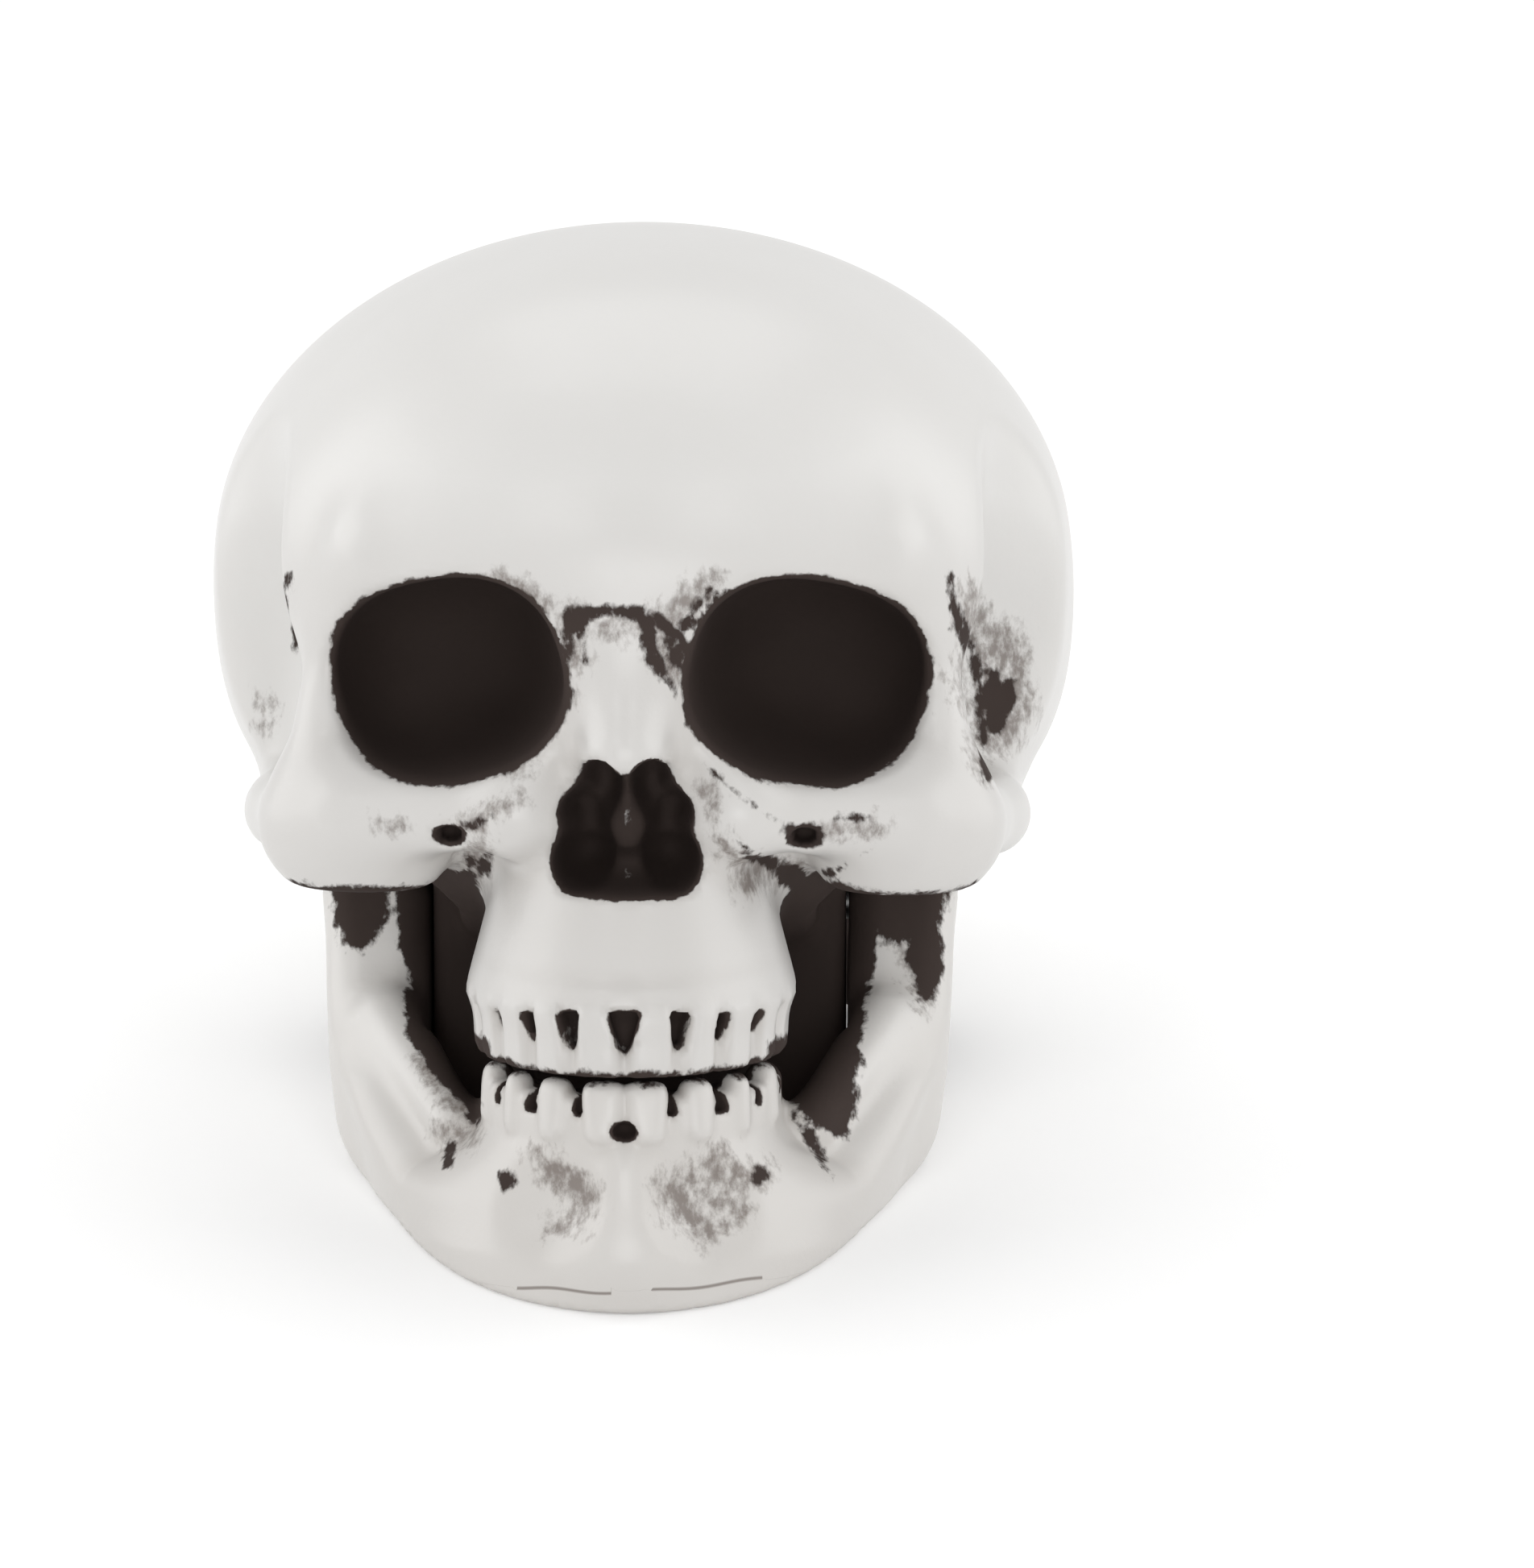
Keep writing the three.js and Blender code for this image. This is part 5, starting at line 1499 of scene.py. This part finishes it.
def thinly_painted(tree, bone):
    off_line = math_node(tree, "ABSOLUTE", named_attribute(tree, "seam"), 0.0)
    line = map_range(tree, {"Value": off_line, **LINE_FADE}, "SMOOTHSTEP")
    bone = mix_colour(tree, line, bone, THIN_PAINT)
    wiped = use_group(tree, brush_edge, {"Depth": named_attribute(tree, "wash"), **WIPED_BRUSH})
    thin = math_node(tree, "MULTIPLY", wiped["Mask"], THIN_PAINT_SHARE)
    return mix_colour(tree, thin, bone, THIN_PAINT)


def bone_finish(name, light_tint, dark_tint):
    material, tree, surface = new_material(name)
    skin = use_group(tree, moulded_skin, SKIN_SIZES)
    bone = thinly_painted(tree, bare_bone(tree, skin["Cloud"], light_tint, dark_tint))
    solid = use_group(tree, brush_edge, {"Depth": named_attribute(tree, "paint"), **SOLID_BRUSH})
    paint = mix_colour(tree, skin["Cloud"], DARK_PAINT, LIGHT_PAINT)
    tree.links.new(mix_colour(tree, solid["Mask"], bone, paint), surface["Base Color"])
    for socket, (bare, painted) in GLOSS.items():
        level = map_range(tree, {"Value": solid["Mask"], "To Min": bare, "To Max": painted})
        tree.links.new(level, surface[socket])
    paint_height = math_node(tree, "MULTIPLY", solid["Mask"], PAINT_THICKNESS)
    height = math_node(tree, "ADD", skin["Height"], paint_height)
    bump = add_node(tree, "ShaderNodeBump", None, {"Height": height, **RELIEF})
    tree.links.new(bump.outputs["Normal"], surface["Normal"])
    return material


shell_finish = bone_finish("bone_shell_finish", (0.735, 0.725, 0.708), (0.70, 0.688, 0.668))
jaw_finish = bone_finish("bone_jaw_finish", (0.722, 0.706, 0.683), (0.687, 0.668, 0.642))
for piece, finish in ((face, shell_finish), (rear, shell_finish), (jaw, jaw_finish)):
    piece.data.materials.append(finish)
print("finishes:", shell_finish.name, jaw_finish.name)

# %% [markdown]
# The hardware is plain steel, bright on the pins and duller on the screws. A turned surface has fine rings
# round its axis; at this size they only show as a slight change of gloss, so noise on the roughness and a
# faint tarnish in the colour are enough.

# %% Steel
TARNISH_SIZE = 900.0
TARNISH_GLOSS = {"To Min": 0.24, "To Max": 0.46}


def tarnish_group():
    group, given, out = new_group("tarnish", ["Size"], ["Film", "Roughness"])
    film = noise(group, object_place(group), Scale=given["Size"], Detail=4.0)
    group.links.new(film, out["Film"])
    group.links.new(map_range(group, {"Value": film, **TARNISH_GLOSS}), out["Roughness"])
    return group


tarnish = tarnish_group()


def steel_finish(name, bright, dull):
    material, tree, surface = new_material(name)
    surface["Metallic"].default_value = 1.0
    film = use_group(tree, tarnish, {"Size": TARNISH_SIZE})
    tree.links.new(mix_colour(tree, film["Film"], (*bright, 1), (*dull, 1)), surface["Base Color"])
    tree.links.new(film["Roughness"], surface["Roughness"])
    return material


pin_finish = steel_finish("pin_steel_finish", (0.62, 0.62, 0.61), (0.42, 0.42, 0.41))
screw_finish = steel_finish("screw_steel_finish", (0.42, 0.42, 0.43), (0.26, 0.26, 0.27))
print("steels:", pin_finish.name, screw_finish.name)

# %% [markdown]
# Now the tree is used three times: two pins, two side screws and one screw under the crown. An input is
# set by its socket's identifier. The evaluated result becomes a plain mesh, is turned onto the table, and
# the modifier and the lathe-turned original are no longer needed.

# %% Set out pins and screws
SHARP_ANGLE = math.radians(40)


def set_out(name, mesh, finish, count, first, spacing=(0, 0, 0), turn=0.0):
    original = put_in_scene(name + "_original", mesh)
    holder = put_in_scene(name + "_holder", bpy.data.meshes.new(name + "_holder"))
    modifier = holder.modifiers.new("row", "NODES")
    modifier.node_group = row_tree
    values = {"Fastener": original, "Finish": finish, "Count": count, "First": first,
              "Spacing": spacing, "Turn": turn}
    for item in row_tree.interface.items_tree:
        if item.in_out == "INPUT":
            modifier[item.identifier] = values[item.name]
    result = plain_mesh(holder)
    result.transform(head_to_table)
    result.shade_smooth()
    result.set_sharp_from_angle(angle=SHARP_ANGLE)
    piece = put_in_scene(name, result)
    bpy.data.objects.remove(holder)
    bpy.data.objects.remove(original)
    print(name, "has", len(result.polygons), "faces")
    return piece


pins = set_out("jaw_pins", pin_mesh, pin_finish, 2, (0, HINGE_Y, HINGE_Z), turn=math.pi)
side_screws = set_out("side_screws", screw_mesh, screw_finish, 2, (-SIDE_SCREW_X, 0, SIDE_SCREW_Z),
                      spacing=(2 * SIDE_SCREW_X, 0, 0))
crown_screw = set_out("crown_screw", screw_mesh, screw_finish, 1, (0, 0, CROWN_SCREW_Z))

# %% [markdown]
# Each finished piece now stands for its construction nodes and rides on their body: the jaw on the jaw,
# everything else on the skull.

# %% Tie the pieces to the frame
TIES = [
    (face, "skull", "bone_shell", ["face_shell"]),
    (rear, "skull", "bone_shell", ["rear_shell"]),
    (jaw, "jaw", "bone_jaw", ["lower_jaw"]),
    (pins, "skull", "pin_steel", ["jaw_pin_left", "jaw_pin_right"]),
    (side_screws, "skull", "screw_steel", ["shell_screw_left", "shell_screw_right"]),
    (crown_screw, "skull", "screw_steel", ["shell_screw_top"]),
]
for piece, body, slot, nodes in TIES:
    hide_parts(*nodes)
    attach(piece, body)
    print(piece.name, "rides on", body)

# %% [markdown]
# The studio is a pale floor under a white sky. Two soft lamps in front leave the two broad highlights on
# the forehead, a low one fills the face, two stand at the sides and a wide one hangs above. The floor and
# the sky look white to the camera, but light the skull no more than a plain room would.

# %% Floor, sky and lamps
FLOOR_HALF_WIDTH = 3.0
FLOOR_GREY = 0.9
FLOOR_ROUGHNESS = 0.9
FLOOR_GLOW = 0.20
SKY_LIGHT = 0.50
WHITE = (1, 1, 1, 1)
LAMPS = {
    "left_lamp": ((-0.17, -0.36, 0.36), 0.10, 0.12),
    "right_lamp": ((0.17, -0.36, 0.36), 0.10, 0.11),
    "fill_lamp": ((0.02, -0.50, 0.07), 0.30, 0.78),
    "left_side_lamp": ((-0.45, 0.02, 0.16), 0.40, 0.85),
    "right_side_lamp": ((0.45, 0.02, 0.16), 0.40, 0.75),
    "top_lamp": ((0.0, 0.20, 0.50), 0.45, 0.75),
}


def seen_directly(tree):
    path = add_node(tree, "ShaderNodeLightPath").outputs
    glossy = math_node(tree, "MAXIMUM", path["Is Glossy Ray"], path["Is Transmission Ray"])
    return math_node(tree, "MAXIMUM", path["Is Camera Ray"], glossy)


def add_floor():
    shape = bmesh.new()
    bmesh.ops.create_grid(shape, x_segments=1, y_segments=1, size=FLOOR_HALF_WIDTH)
    mesh = bpy.data.meshes.new("studio_floor")
    shape.to_mesh(mesh)
    shape.free()
    floor = put_in_scene("studio_floor", mesh)
    material, tree, surface = new_material("floor_finish")
    surface["Base Color"].default_value = (FLOOR_GREY, FLOOR_GREY, FLOOR_GREY, 1)
    surface["Roughness"].default_value = FLOOR_ROUGHNESS
    surface["Emission Color"].default_value = WHITE
    glow = math_node(tree, "MULTIPLY", seen_directly(tree), FLOOR_GLOW)
    tree.links.new(glow, surface["Emission Strength"])
    mesh.materials.append(material)


def add_sky():
    world = bpy.data.worlds.new("white_sky")
    world.use_nodes = True
    tree = world.node_tree
    sky = tree.nodes["Background"].inputs
    sky["Color"].default_value = WHITE
    level = map_range(tree, {"Value": seen_directly(tree), "To Min": SKY_LIGHT, "To Max": 1.0})
    tree.links.new(level, sky["Strength"])
    bpy.context.scene.world = world


def add_lamp(name, place, size, power):
    data = bpy.data.lights.new(name, "AREA")
    data.size = size
    data.energy = power
    aim = head_to_table @ VIEW_TARGET
    turn = (aim - Vector(place)).to_track_quat("-Z", "Y").to_matrix().to_4x4()
    put_in_scene(name, data).matrix_world = Matrix.Translation(place) @ turn


add_floor()
add_sky()
for lamp_name, lamp in LAMPS.items():
    add_lamp(lamp_name, *lamp)
bpy.context.scene.view_settings.view_transform = "Standard"
print("sky light:", SKY_LIGHT, "and lamps:", list(LAMPS))
